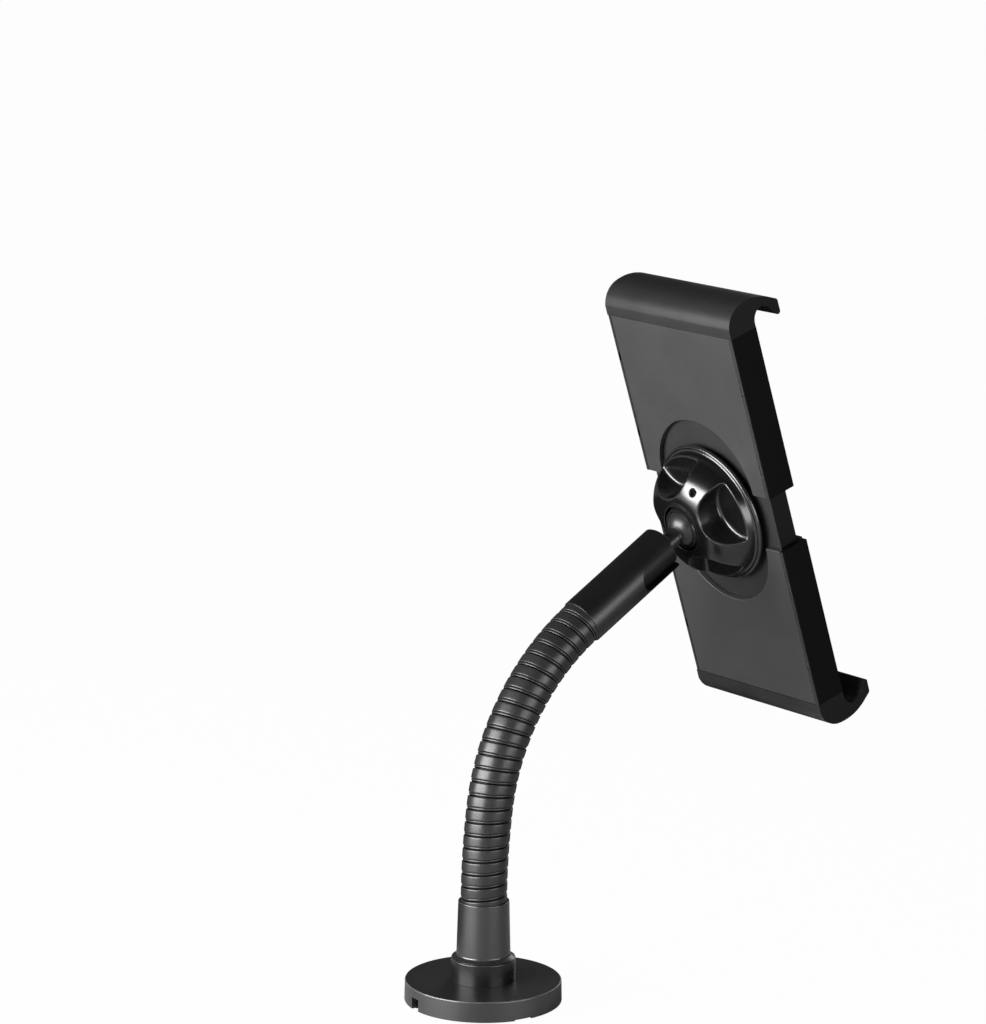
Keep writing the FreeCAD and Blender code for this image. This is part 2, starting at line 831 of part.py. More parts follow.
def knob_blank():
    """Knob before its finger scallops: a flanged dome, hollow below, round the collet."""
    bore_r = collet_r + knob_thread_play
    hub_r_outer = bore_r + knob_hub_wall
    low = [
        (knob_mouth_r, knob_mouth_z),
        (bore_r, knob_bore_cone_z),
        (bore_r, knob_hub_z),
        (hub_r_outer, knob_hub_z),
        (hub_r_outer, knob_hollow_z),
        (knob_hollow_r, knob_hollow_z),
        (knob_hollow_r, knob_flange_z),
        (knob_flange_r, knob_flange_z),
        (knob_flange_r, knob_flange_step_z),
        (knob_flange_r - knob_rim_inset, knob_flange_top_z),
        (knob_skirt_r, knob_skirt_z),
    ]
    points = [Vector(radius, 0, height) for radius, height in low]
    top = Part.makeLine(Vector(knob_ring_r, 0, knob_ring_z), points[0])
    face = Part.Face(Part.Wire(Part.makePolygon(points).Edges + [knob_dome(), top]))
    return face.revolve(Vector(0, 0, 0), Z_AXIS, 360)


def lock_screw_top():
    """Height of the lock screw's outer end, sunk below the dome."""
    dome = knob_dome().Curve
    rise = math.sqrt(dome.Radius ** 2 - (lock_screw_out - dome.Center.x) ** 2)
    return dome.Center.z + rise - lock_screw_sink


def clamp_knob():
    """Knob with finger scallops and a hole for its lock screw."""
    scallop = moved(cylinder(scallop_r, scallop_floor_z, knob_ring_z + overshoot), scallop_out, 0, 0)
    hole = moved(cylinder(lock_screw_r + thread_play, lock_screw_top() - lock_screw_length,
                          knob_mouth_z), lock_screw_out, 0, 0)
    tools = ring_of(scallop, scallop_count, scallop_azimuth) + ring_of(hole, 1, lock_screw_azimuth)
    return on_holder(cut_all(knob_blank(), tools))


def knob_lock_screw():
    """Headless screw in the knob."""
    top_z = lock_screw_top()
    screw = cylinder(lock_screw_r, top_z - lock_screw_length, top_z)
    screw = screw.cut(hexagon(lock_screw_r, top_z - lock_screw_r, top_z))
    return on_holder(turned_about_z(moved(screw, lock_screw_out, 0, 0), lock_screw_azimuth))


# Jaws: modelled as the lower one; the upper one is turned half round


def rack_teeth():
    """Outline corners of the rack's toothed edge, a space at y = 0, from its tip up."""
    slope = math.tan(math.radians(pressure_angle_degrees))
    half_at_pitch = (tooth_pitch / 2 - gear_backlash / 2) / 2
    tip_half = half_at_pitch - rack_addendum * slope
    root_half = half_at_pitch + rack_root_depth * slope
    count = int((rack_reach + rack_teeth_end) / tooth_pitch)
    first = math.ceil(-rack_reach / tooth_pitch) + 0.5
    corners = []
    for tooth in range(count):
        centre = (first + tooth) * tooth_pitch
        corners.append((pitch_r + rack_root_depth, centre - root_half))
        corners.append((pitch_r - rack_addendum, centre - tip_half))
        corners.append((pitch_r - rack_addendum, centre + tip_half))
        corners.append((pitch_r + rack_root_depth, centre + root_half))
    return corners


def jaw_rack():
    """Rack bar with teeth at one end and a foot at the other."""
    end_y = jaw_seam_y - tongue_play
    root_x = pitch_r + rack_root_depth
    tip_y = -rack_reach - rack_end_land
    outline = [(root_x, tip_y)] + rack_teeth() + [(root_x, end_y), (rack_back_x, end_y),
                                                  (rack_back_x, tip_y)]
    points = [Vector(x, y, gear_z) for x, y in outline]
    bar = Part.Face(Part.makePolygon(points + points[:1])).extrude(Vector(0, 0, gear_width))
    foot = block(rack_foot_inner_x, rack_foot_outer_x, tongue_start_y + tongue_play, end_y,
                 tongue_hollow_z, tongue_hollow_z + rack_foot_thickness)
    hole = moved(screw_hole(rack_screw_length), rack_screw_x, screw_row_y, jaw_floor_z)
    return fuse_all([bar, foot]).cut(hole)


def jaw_screw_places():
    """Places and lengths of a jaw's screws: two hold the cap, one the rack."""
    return [(-cap_screw_x, cap_screw_length), (cap_screw_x, cap_screw_length),
            (rack_screw_x, rack_screw_length)]


def jaw_screw_holes():
    """Spaces of a jaw's screws."""
    return [moved(screw_hole(length), x, screw_row_y, jaw_floor_z) for x, length in jaw_screw_places()]


def jaw_screws():
    """Countersunk screws under the jaw's pad."""
    return [moved(countersunk_screw(length), x, screw_row_y, jaw_floor_z)
            for x, length in jaw_screw_places()]


def snap_block(play, sink_play):
    """Snap tabs of the jaw cover, or with play the windows that they stand in."""
    tabs = []
    for side, first_y in ((-1, snap_left_y), (1, snap_right_y)):
        for index in range(snaps_per_side):
            place_y = first_y + snap_spacing * index
            tab = block(cover_half_width - cover_play - overshoot, cover_half_width + snap_depth + play,
                        place_y - snap_width / 2 - play, place_y + snap_width / 2 + play,
                        jaw_cover_z + cover_ledge_thickness, jaw_back_z - snap_sink + sink_play)
            if side < 0:
                tab = tab.mirror(Vector(0, 0, 0), X_AXIS)
            tabs.append(tab)
    return tabs


def jaw_shell():
    """Channel with two side walls, a floor, back strips and ledges for the cover."""
    side = [
        (0, jaw_floor_z),
        (jaw_inner_half_width, jaw_floor_z),
        (jaw_inner_half_width, jaw_wall_front_z),
        (holder_half_width, jaw_wall_front_z),
        (holder_half_width, jaw_back_z),
        (cover_half_width, jaw_back_z),
        (cover_half_width, jaw_cover_z + cover_ledge_thickness),
        (cover_half_width - cover_ledge, jaw_cover_z + cover_ledge_thickness),
        (cover_half_width - cover_ledge, jaw_cover_z),
        (jaw_inner_half_width, jaw_cover_z),
        (jaw_inner_half_width, jaw_floor_back_z),
        (0, jaw_floor_back_z),
    ]
    outline = side + [(-x, z) for x, z in reversed(side[1:-1])]
    shell = prism_along_y(outline, jaw_inner_y, jaw_seam_y)
    shell = rounded(shell, jaw_edge_round, lambda edge: is_long_outer_edge(edge, jaw_back_z))
    return cut_all(shell, snap_block(snap_play, snap_sink + overshoot) + jaw_screw_holes())


def is_long_outer_edge(edge, height):
    """Whether an edge runs along a jaw's side at a height."""
    box = edge.BoundBox
    at_side = abs(abs(box.Center.x) - holder_half_width) < edge_tolerance
    along = box.XLength < edge_tolerance and box.ZLength < edge_tolerance
    return at_side and along and abs(box.Center.z - height) < edge_tolerance


def jaw_cover():
    """Flat back cover with a half-round cut-out for the knob and snap tabs."""
    full_x = cover_half_width - cover_play
    ledge_x = cover_half_width - cover_ledge - cover_play
    shelf_z = jaw_cover_z + cover_ledge_thickness
    outline = [(-full_x, shelf_z), (-ledge_x, shelf_z), (-ledge_x, jaw_cover_z),
               (ledge_x, jaw_cover_z), (ledge_x, shelf_z), (full_x, shelf_z),
               (full_x, jaw_back_z), (-full_x, jaw_back_z)]
    plate = prism_along_y(outline, jaw_inner_y, jaw_seam_y - cover_play)
    cutout = moved(cylinder(cover_cutout_r, jaw_cover_z, jaw_back_z), 0, jaw_inner_y, 0)
    return fuse_all([plate] + snap_block(0, 0)).cut(cutout)


def jaw_floor_pad():
    """Rubber pad that the tablet's back lies on, with two fine grooves."""
    pad = block(-floor_pad_half_width, floor_pad_half_width, jaw_inner_y, jaw_seam_y - pad_end_play,
                0, jaw_floor_z)
    grooves = [block(x - floor_pad_groove_width / 2, x + floor_pad_groove_width / 2,
                     jaw_inner_y, jaw_seam_y, -overshoot, floor_pad_groove_depth)
               for x in (-floor_pad_groove_x, floor_pad_groove_x)]
    return cut_all(pad, grooves)


def hook_point(pair):
    """Point of the hook's outline in the plane x = 0."""
    return Vector(0, pair[0], pair[1])


def hook_line(start, end):
    """Straight stretch of the hook's outline."""
    return Part.makeLine(hook_point(start), hook_point(end))


def hook_arc(start, middle, end):
    """Round stretch of the hook's outline."""
    return Part.Arc(hook_point(start), hook_point(middle), hook_point(end)).toShape()


def hook_inside_edges():
    """Inner side of the hook, from the lip's tip to the cap's floor."""
    return [
        hook_line(hook_tip_inner, hook_inner_low),
        hook_arc(hook_inner_low, hook_inner_mid, hook_inner_high),
        hook_arc(hook_inner_high, hook_inner_round, (hook_floor_y, cap_floor_z)),
    ]


def along_x(face, half_width):
    """Solid from a face in the plane x = 0, spread to both sides."""
    solid = face.extrude(Vector(2 * half_width, 0, 0))
    return moved(solid, -half_width, 0, 0)


def hook_body():
    """Outer form of an end cap with its hook."""
    back = (jaw_seam_y, jaw_back_z)
    floor = (jaw_seam_y, cap_floor_z)
    edges = [
        hook_line(back, (hook_back_y, jaw_back_z)),
        hook_arc((hook_back_y, jaw_back_z), hook_corner, hook_shoulder),
        hook_arc(hook_shoulder, hook_side, hook_low),
        hook_line(hook_low, hook_front_outer),
        hook_arc(hook_front_outer, hook_front_round, hook_front),
        hook_line(hook_front, hook_tip_front),
        hook_arc(hook_tip_front, hook_tip, hook_tip_inner),
    ] + hook_inside_edges() + [hook_line((hook_floor_y, cap_floor_z), floor), hook_line(floor, back)]
    return along_x(Part.Face(Part.Wire(edges)), holder_half_width)


def hook_pad():
    """Rubber lining in the hook, seated in a recess of its own thickness."""
    edges = hook_inside_edges() + [hook_line((hook_floor_y, cap_floor_z), hook_tip_inner)]
    space = Part.Face(Part.Wire(edges))
    wide = space.makeOffset2D(hook_pad_thickness)
    lining = along_x(wide, hook_pad_half_width).cut(along_x(space, hook_pad_half_width + overshoot))
    keep = block(-hook_pad_half_width, hook_pad_half_width, hook_pad_start_y, hook_shoulder[0],
                 hook_tip_front[1], cap_floor_z)
    return lining.common(keep)


def port_window():
    """Window through the lower hook for a charging plug."""
    return block(-port_half_width, port_half_width, hook_pad_start_y, hook_shoulder[0] + 2 * overshoot,
                 port_z[0], port_z[1])


def lip_notch():
    """Notch in the lower hook's lip."""
    return block(-lip_notch_half_width, lip_notch_half_width, hook_tip_inner[0] - overshoot,
                 lip_notch_end_y, hook_tip_front[1] - overshoot, lip_notch_back_z)


def cap_tongue():
    """Hollow tongue by which the cap stands in the shell."""
    half_x = jaw_inner_half_width - tongue_play
    outer = block(-half_x, half_x, tongue_start_y, jaw_seam_y, jaw_floor_back_z, jaw_cover_z - tongue_play)
    hollow = block(-tongue_hollow_half_width, tongue_hollow_half_width, tongue_start_y, jaw_seam_y,
                   tongue_hollow_z, jaw_cover_z - tongue_roof)
    return outer.cut(hollow)


def end_cap(has_port):
    """End cap with its hook; the lower one has a port window and a notched lip."""
    body = hook_body()
    hollow = block(-cap_hollow_half_width, cap_hollow_half_width, jaw_seam_y,
                   jaw_seam_y + cap_hollow_depth, cap_hollow_front_z, cap_hollow_back_z)
    body = body.cut(hollow).fuse(cap_tongue()).removeSplitter()
    tools = [hook_pad()] + jaw_screw_holes()
    if has_port:
        tools += [port_window(), lip_notch()]
    return cut_all(body, tools)


def cap_pad(has_port):
    """Lining of one hook, cut where the port window is."""
    pad = hook_pad()
    return cut_all(pad, [port_window(), lip_notch()]) if has_port else pad


def jaw_nodes(name, turn, has_port):
    """Every piece of one jaw, by node name."""
    pieces = {
        "shell": [jaw_shell()],
        "cover": [jaw_cover()],
        "end_cap": [end_cap(has_port)],
        "hook_pad": [cap_pad(has_port)],
        "floor_pad": [jaw_floor_pad()],
        "rack": [jaw_rack()],
        "screws": jaw_screws(),
    }
    return {name + "_jaw_" + part: [on_holder(turned_about_z(solid, turn)) for solid in solids]
            for part, solids in pieces.items()}


def all_nodes():
    """Every node of the stand: its name and the list of its solids."""
    nodes = {
        "base_cover": [base_cover()],
        "base_plate": [base_plate()],
        "base_pad": [base_pad()],
        "foot_nut": [foot_nut()],
        "foot_washer": [foot_washer()],
        "hub_ring": [hub_ring()],
        "neck_foot": [neck_foot()],
        "neck_collar": [neck_collar()],
        "collar_set_screw": [collar_set_screw()],
        "neck_sleeve": [neck_sleeve()],
        "neck_head": [neck_head()],
        "ball_stud": [ball_stud()],
        "ball_seat": [ball_seat()],
        "core_frame": [core_frame()],
        "core_front_plate": [core_front_plate()],
        "core_screws": core_screws(),
        "sync_pinion": [sync_pinion()],
        "pinion_pin": [pinion_pin()],
        "ball_collet": [ball_collet()],
        "collet_screws": collet_screws(),
        "clamp_knob": [clamp_knob()],
        "knob_lock_screw": [knob_lock_screw()],
    }
    for index in range(1, link_count + 1):
        nodes["gooseneck_link_%02d" % index] = [gooseneck_link(index)]
    nodes.update(jaw_nodes("lower", 0, True))
    nodes.update(jaw_nodes("upper", 180, False))
    return nodes


def main():
    """Writes each node to its own STEP file and prints its size."""
    os.makedirs("parts", exist_ok=True)
    for name, solids in all_nodes().items():
        shape = solids[0] if len(solids) == 1 else Part.makeCompound(solids)
        shape.exportStep("parts/%s.step" % name)
        print("%-24s solids %2d  volume %9.1f mm3  valid %s" % (
            name, len(shape.Solids), shape.Volume, shape.isValid()))


main()
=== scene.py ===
"""Looks of a tablet holder on a wound, flexible neck.

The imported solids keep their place. Those whose shape is right get a finish, and the ones
whose real surface is wound, softened or hollowed are replaced by pieces modelled here.
Metres. The neck bends in the plane X = 0 and the holder's open side looks towards -Y.
"""
from __future__ import annotations

import json
import logging
import math
from contextlib import contextmanager
from dataclasses import dataclass
from enum import Enum
from typing import Any, Callable, Iterator, Sequence, Union

import bmesh
import bpy
from mathutils import Matrix, Vector

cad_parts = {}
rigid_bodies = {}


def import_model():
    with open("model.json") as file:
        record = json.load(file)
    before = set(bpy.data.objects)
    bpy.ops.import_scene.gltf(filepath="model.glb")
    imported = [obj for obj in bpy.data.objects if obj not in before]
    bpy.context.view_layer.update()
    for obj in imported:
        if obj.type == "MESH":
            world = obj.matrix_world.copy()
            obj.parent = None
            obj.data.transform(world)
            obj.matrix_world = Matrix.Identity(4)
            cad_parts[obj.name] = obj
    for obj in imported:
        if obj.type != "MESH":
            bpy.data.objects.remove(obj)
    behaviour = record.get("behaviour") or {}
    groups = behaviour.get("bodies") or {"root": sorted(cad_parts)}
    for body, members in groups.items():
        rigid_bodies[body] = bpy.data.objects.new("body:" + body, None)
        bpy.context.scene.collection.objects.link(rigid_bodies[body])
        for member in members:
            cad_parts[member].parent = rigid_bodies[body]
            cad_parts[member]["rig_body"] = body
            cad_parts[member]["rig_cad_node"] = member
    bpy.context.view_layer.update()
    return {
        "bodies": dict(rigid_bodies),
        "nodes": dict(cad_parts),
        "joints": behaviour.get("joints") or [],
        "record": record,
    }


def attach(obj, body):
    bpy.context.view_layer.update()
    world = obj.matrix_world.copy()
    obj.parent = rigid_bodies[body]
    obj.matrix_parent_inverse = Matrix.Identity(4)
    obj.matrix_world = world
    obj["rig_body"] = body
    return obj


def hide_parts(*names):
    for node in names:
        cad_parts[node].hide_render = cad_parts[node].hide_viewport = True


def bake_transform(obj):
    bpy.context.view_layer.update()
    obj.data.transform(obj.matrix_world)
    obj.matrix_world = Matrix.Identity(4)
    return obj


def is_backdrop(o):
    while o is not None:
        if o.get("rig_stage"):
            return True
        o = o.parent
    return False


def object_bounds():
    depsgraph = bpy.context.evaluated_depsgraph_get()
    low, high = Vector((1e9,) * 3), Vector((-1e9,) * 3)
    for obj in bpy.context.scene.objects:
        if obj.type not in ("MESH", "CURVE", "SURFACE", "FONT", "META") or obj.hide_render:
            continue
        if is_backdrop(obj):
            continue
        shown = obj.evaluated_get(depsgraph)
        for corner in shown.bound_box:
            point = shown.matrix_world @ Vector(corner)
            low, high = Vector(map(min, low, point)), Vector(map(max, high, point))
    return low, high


LOG = logging.getLogger("stand")
MM = 0.001

Number = Union[int, float]
Colour = tuple[float, float, float]
Point = tuple[float, float, float]
Piece = bpy.types.Object
Profile = Sequence[tuple[float, float]]

ORIGIN: Point = (0.0, 0.0, 0.0)
ACROSS = Vector((1.0, 0.0, 0.0))
UP = Vector((0.0, 0.0, 1.0))


def grey(level: float) -> Colour:
    """Neutral colour."""
    return (level, level, level)


# Finishes


class Field:
    """A value that varies over a surface: the output of a node, with arithmetic."""

    def __init__(self, maker: "NodeMaker", socket: bpy.types.NodeSocket) -> None:
        """Wraps a node's output."""
        self.maker = maker
        self.socket = socket

    def _math(self, operation: str, first: "Term", second: "Term") -> "Field":
        """Adds a Math node."""
        return self.maker.node("ShaderNodeMath", {0: first, 1: second}, operation=operation)

    def __add__(self, other: "Term") -> "Field":
        """Sum of the two."""
        return self._math("ADD", self, other)

    def __radd__(self, other: "Term") -> "Field":
        """Sum, with the number first."""
        return self._math("ADD", other, self)

    def __sub__(self, other: "Term") -> "Field":
        """Difference of the two."""
        return self._math("SUBTRACT", self, other)

    def __mul__(self, other: "Term") -> "Field":
        """Product of the two."""
        return self._math("MULTIPLY", self, other)

    def smooth(self, low: float, high: float) -> "Field":
        """Rises smoothly from 0 at low to 1 at high.

        Args:
            low: Value at which the result is 0.
            high: Value at which the result is 1.

        Returns:
            The smooth step.
        """
        return self.maker.node(
            "ShaderNodeMapRange", {"Value": self, "From Min": low, "From Max": high},
            interpolation_type="SMOOTHSTEP",
        )


Term = Union[Field, Number]


class NodeMaker:
    """Adds nodes to one material or to the world."""

    octave_share: float = 0.55

    def __init__(self, owner: bpy.types.Material | bpy.types.World) -> None:
        """Starts with an empty node tree.

        Args:
            owner: The material or world that the nodes belong to.
        """
        owner.use_nodes = True
        self.owner = owner
        self.tree = owner.node_tree
        self.tree.nodes.clear()

    def node(
        self,
        kind: str,
        inputs: dict[str | int, Any] | None = None,
        output: str | int = 0,
        **settings: Any,
    ) -> Field:
        """Adds a node, sets it up and links it.

        Args:
            kind: The node's type name.
            inputs: Values or fields for its sockets, by name or number.
            output: The output that the result stands for.
            settings: The node's properties.

        Returns:
            The chosen output.
        """
        made = self.tree.nodes.new(kind)
        for name, value in settings.items():
            setattr(made, name, value)
        for name, value in (inputs or {}).items():
            if isinstance(value, Field):
                self.tree.links.new(value.socket, made.inputs[name])
            else:
                made.inputs[name].default_value = value
        return Field(self, made.outputs[output] if len(made.outputs) else made.inputs[0])

    def place(self) -> Field:
        """Place on the piece in the model's own frame."""
        return self.node("ShaderNodeTexCoord", output="Object")

    def noise(self, scale: float, detail: float = 2.0, where: Field | None = None) -> Field:
        """Cloudy noise.

        Args:
            scale: Features per metre.
            detail: Octaves.
            where: Coordinates, the piece's own when left out.

        Returns:
            The noise, about 0.5 on average.
        """
        return self.node("ShaderNodeTexNoise", {
            "Vector": where or self.place(), "Scale": scale, "Detail": detail,
            "Roughness": self.octave_share,
        })

    def tint(self, low: Field | Colour, high: Colour, share: Field) -> Field:
        """Colour between two.

        Args:
            low: Colour where the share is 0.
            high: Colour where the share is 1.
            share: The share of the second.

        Returns:
            The mixed colour.
        """
        first = low if isinstance(low, Field) else (*low, 1.0)
        return self.node(
            "ShaderNodeMix", {0: share, 6: first, 7: (*high, 1.0)}, output=2, data_type="RGBA"
        )

    def bump(self, height: Field, distance: float) -> Field:
        """Surface relief.

        Args:
            height: The relief's height, from 0 to 1.
            distance: Depth of a full step, in metres.

        Returns:
            The bent normal.
        """
        return self.node(
            "ShaderNodeBump", {"Strength": 1.0, "Distance": distance, "Height": height}
        )

    def close(self, **sockets: Any) -> bpy.types.Material:
        """Adds the shader and the output.

        Args:
            sockets: The shader's values by name, with _ for a blank.

        Returns:
            The finished material.
        """
        named = {name.replace("_", " "): value for name, value in sockets.items()}
        shader = self.node("ShaderNodeBsdfPrincipled", named)
        self.node("ShaderNodeOutputMaterial", {"Surface": shader})
        return self.owner


@dataclass(frozen=True)
class Finish:
    """A surface with a fine grain, uneven gloss and smoother edges, tinted lighter by wear and
    by a painted highlight.
    """

    name: str
    colour: Colour
    variation: float = 0.12
    roughness: float = 0.45
    roughness_spread: float = 0.10
    metallic: float = 0.0
    grain_per_metre: float = 5200.0
    grain_depth: float = 0.010 * MM
    cloud_per_metre: float = 55.0
    # The edge fields set the lighter tint on sharp edges: partly wear, partly painted highlight.
    edge_wear_and_highlight_colour: Colour = grey(0.10)
    edge_wear_and_highlight_share: float = 0.35
    specular: float = 0.5
    # Whether shade is painted into the grooves, from the groove attribute.
    paints_groove_shade: bool = False
    cloud_share: float = 0.7
    cloud_detail: float = 4.0
    cloud_range: tuple[float, float] = (0.3, 0.7)
    smear_ratio: float = 9.0
    smear_detail: float = 3.0
    least_wear_and_highlight: float = 0.55
    smeared_wear_and_highlight: float = 0.9
    wear_and_highlight_range: tuple[float, float] = (0.2, 1.1)
    edge_gloss: float = 0.15

    def relief(self, maker: NodeMaker) -> Field:
        """Fine relief of the surface."""
        return maker.noise(self.grain_per_metre)

    def build(self) -> bpy.types.Material:
        """Makes the material.

        Returns:
            The material.
        """
        maker = NodeMaker(bpy.data.materials.new(self.name))
        relief = self.relief(maker)
        cloud = maker.noise(self.cloud_per_metre, self.cloud_detail)
        smear = maker.noise(self.cloud_per_metre * self.smear_ratio, self.smear_detail)
        edge = maker.node("ShaderNodeAttribute", output="Fac", attribute_name="edge")
        dark = tuple(part * (1.0 - self.variation) for part in self.colour)
        light = tuple(part * (1.0 + self.variation) for part in self.colour)
        patches = cloud.smooth(*self.cloud_range) * self.cloud_share
        base = maker.tint(dark, light, patches + relief * (1.0 - self.cloud_share))
        # Painted highlight and wear: sharp edges are tinted towards the lighter edge colour, for
        # rubbed paint and for the light they catch.
        wear_and_highlight = edge * (self.least_wear_and_highlight + smear * self.smeared_wear_and_highlight)
        worn_and_highlighted = wear_and_highlight.smooth(*self.wear_and_highlight_range) * self.edge_wear_and_highlight_share
        colour = maker.tint(base, self.edge_wear_and_highlight_colour, worn_and_highlighted)
        metallic: Field | float = self.metallic
        # Painted shade: the grooves are coloured black and made fully metallic, so they stay
        # dark as if shaded.
        if self.paints_groove_shade:
            painted_groove_shade = maker.node("ShaderNodeAttribute", output="Fac", attribute_name="painted_groove_shade")
            colour = maker.tint(colour, grey(0.0), painted_groove_shade)
            metallic = painted_groove_shade * (1.0 - self.metallic) + self.metallic
        spread = self.roughness_spread
        roughness = (cloud - 0.5) * spread + (smear - 0.5) * spread + (relief - 0.5) * spread
        return maker.close(
            Base_Color=colour,
            Roughness=roughness + self.roughness - worn_and_highlighted * self.edge_gloss,
            Metallic=metallic,
            Specular_IOR_Level=self.specular,
            Normal=maker.bump(relief, self.grain_depth),
        )


@dataclass(frozen=True)
class TurnedFinish(Finish):
    """A finish with the fine rings that a lathe leaves, round an axis."""

    axis_point: Point = ORIGIN
    axis_turn: Point = ORIGIN
    ring_pitch: float = 0.16 * MM
    ring_share: float = 0.6
    axial_share: float = 0.37

    def relief(self, maker: NodeMaker) -> Field:
        """Rings round the axis with the grain over them.

        Args:
            maker: The maker of the material's nodes.

        Returns:
            The relief's height, from 0 to 1.
        """
        centred = maker.node(
            "ShaderNodeMapping",
            {"Vector": maker.place(), "Location": self.axis_point, "Rotation": self.axis_turn},
            vector_type="TEXTURE",
        )
        apart, sideways, along = (
            maker.node("ShaderNodeSeparateXYZ", {0: centred}, output=axis) for axis in "XYZ"
        )
        radius = maker.node(
            "ShaderNodeMath", {0: apart * apart + sideways * sideways}, operation="SQRT"
        )
        spread_out = maker.node("ShaderNodeCombineXYZ", {0: radius + along * self.axial_share})
        rings = maker.noise(1.0 / self.ring_pitch, 1.0, spread_out)
        grain = maker.noise(self.grain_per_metre)
        return rings * self.ring_share + grain * (1.0 - self.ring_share)


class Surface(Enum):
    """Every finish of the stand, by the piece that shows it best."""

    BASE = TurnedFinish(
        "base_satin_black", grey(0.010), roughness=0.36, specular=1.0, ring_pitch=0.22 * MM,
        grain_depth=0.005 * MM, edge_wear_and_highlight_colour=grey(0.16), edge_wear_and_highlight_share=0.5, roughness_spread=0.04,
    )
    HUB = TurnedFinish(
        "hub_gloss_black", grey(0.006), roughness=0.28, ring_pitch=0.2 * MM,
        grain_depth=0.003 * MM, roughness_spread=0.03,
    )
    COLLAR = TurnedFinish(
        "collar_satin_black", (0.014, 0.0135, 0.013), roughness=0.29, ring_pitch=0.3 * MM,
        grain_depth=0.004 * MM, specular=1.0, roughness_spread=0.03,
    )
    NECK = Finish(
        "neck_blackened_steel", grey(0.040), roughness=0.34, metallic=0.55,
        grain_per_metre=3600.0, grain_depth=0.012 * MM, roughness_spread=0.14,
        edge_wear_and_highlight_colour=grey(0.14), edge_wear_and_highlight_share=0.15, paints_groove_shade=True,
    )
    SLEEVE = TurnedFinish(
        "sleeve_satin_black", grey(0.004), roughness=0.36, ring_pitch=0.25 * MM,
        grain_depth=0.006 * MM, specular=0.7, axis_point=(0.0, -0.0498, 0.1548),
        axis_turn=(math.radians(58.7), 0.0, 0.0),
    )
    BALL = Finish(
        "ball_black_nickel", grey(0.06), roughness=0.34, metallic=0.7, grain_depth=0.004 * MM
    )
    KNOB = Finish(
        "knob_semi_gloss_black", grey(0.0035), roughness=0.21,
        grain_depth=0.005 * MM, roughness_spread=0.07, specular=0.9, edge_wear_and_highlight_share=0.2,
    )
    COVER = Finish(
        "cover_matt_charcoal", grey(0.033), roughness=0.50, specular=0.4,
        grain_per_metre=3800.0, grain_depth=0.018 * MM, variation=0.06,
        edge_wear_and_highlight_colour=grey(0.13),
    )
    # Painted shade: a darker copy of the caps' finish, put on their sides.
    PAINTED_SHADE_CAP_SIDE = Finish(
        "cap_side_painted_shade_black", grey(0.006), roughness=0.50, specular=0.15, grain_per_metre=3800.0,
        edge_wear_and_highlight_colour=grey(0.05),
    )
    # Black plastic, kept darker than its lighter copy on the backs: painted shade on the side
    # walls.
    SHELL = Finish(
        "shell_matt_black", grey(0.003), roughness=0.55, specular=0.06, grain_per_metre=3800.0,
        edge_wear_and_highlight_colour=grey(0.05),
    )
    CAP = Finish(
        "cap_satin_black", grey(0.020), roughness=0.34, specular=0.6, grain_per_metre=3800.0
    )
    CORE = Finish(
        "core_matt_black", grey(0.003), roughness=0.50, specular=0.15, edge_wear_and_highlight_colour=grey(0.06)
    )
    # Painted light: a lighter copy of the shell's and core's finish, put on their backs.
    PAINTED_LIT_BACK = Finish(
        "painted_lit_back_charcoal", grey(0.020), roughness=0.50, specular=0.3, edge_wear_and_highlight_colour=grey(0.07)
    )
    COLLET = Finish(
        "collet_gloss_black", grey(0.010), roughness=0.26, grain_depth=0.004 * MM,
        edge_wear_and_highlight_colour=grey(0.06),
    )
    RUBBER = Finish(
        "pad_rubber_black", grey(0.012), roughness=0.72, grain_depth=0.03 * MM,
        grain_per_metre=2600.0, edge_wear_and_highlight_colour=grey(0.04), specular=0.35,
    )
    # Painted shade: the plug seen through the sleeve's notch is coloured near-black for the
    # shade in there.
    PLUG_IN_PAINTED_SHADE = Finish(
        "plug_painted_shade_black", (0.003, 0.0026, 0.0024), roughness=0.48, specular=0.3,
        edge_wear_and_highlight_colour=grey(0.05),
    )
    STEEL = Finish(
        "fastener_plated_steel", (0.52, 0.53, 0.55), roughness=0.28, metallic=1.0,
        edge_wear_and_highlight_colour=(0.7, 0.7, 0.72),
    )
    BLACK_STEEL = Finish(
        "fastener_black_steel", (0.05, 0.05, 0.052), roughness=0.38, metallic=0.8
    )
    NYLON = Finish(
        "seat_natural_nylon", (0.68, 0.66, 0.60), roughness=0.42, variation=0.04,
        edge_wear_and_highlight_colour=(0.75, 0.73, 0.68),
    )
    BRASS = Finish(
        "gear_brass", (0.62, 0.45, 0.18), roughness=0.30, metallic=1.0,
        edge_wear_and_highlight_colour=(0.8, 0.62, 0.3),
    )


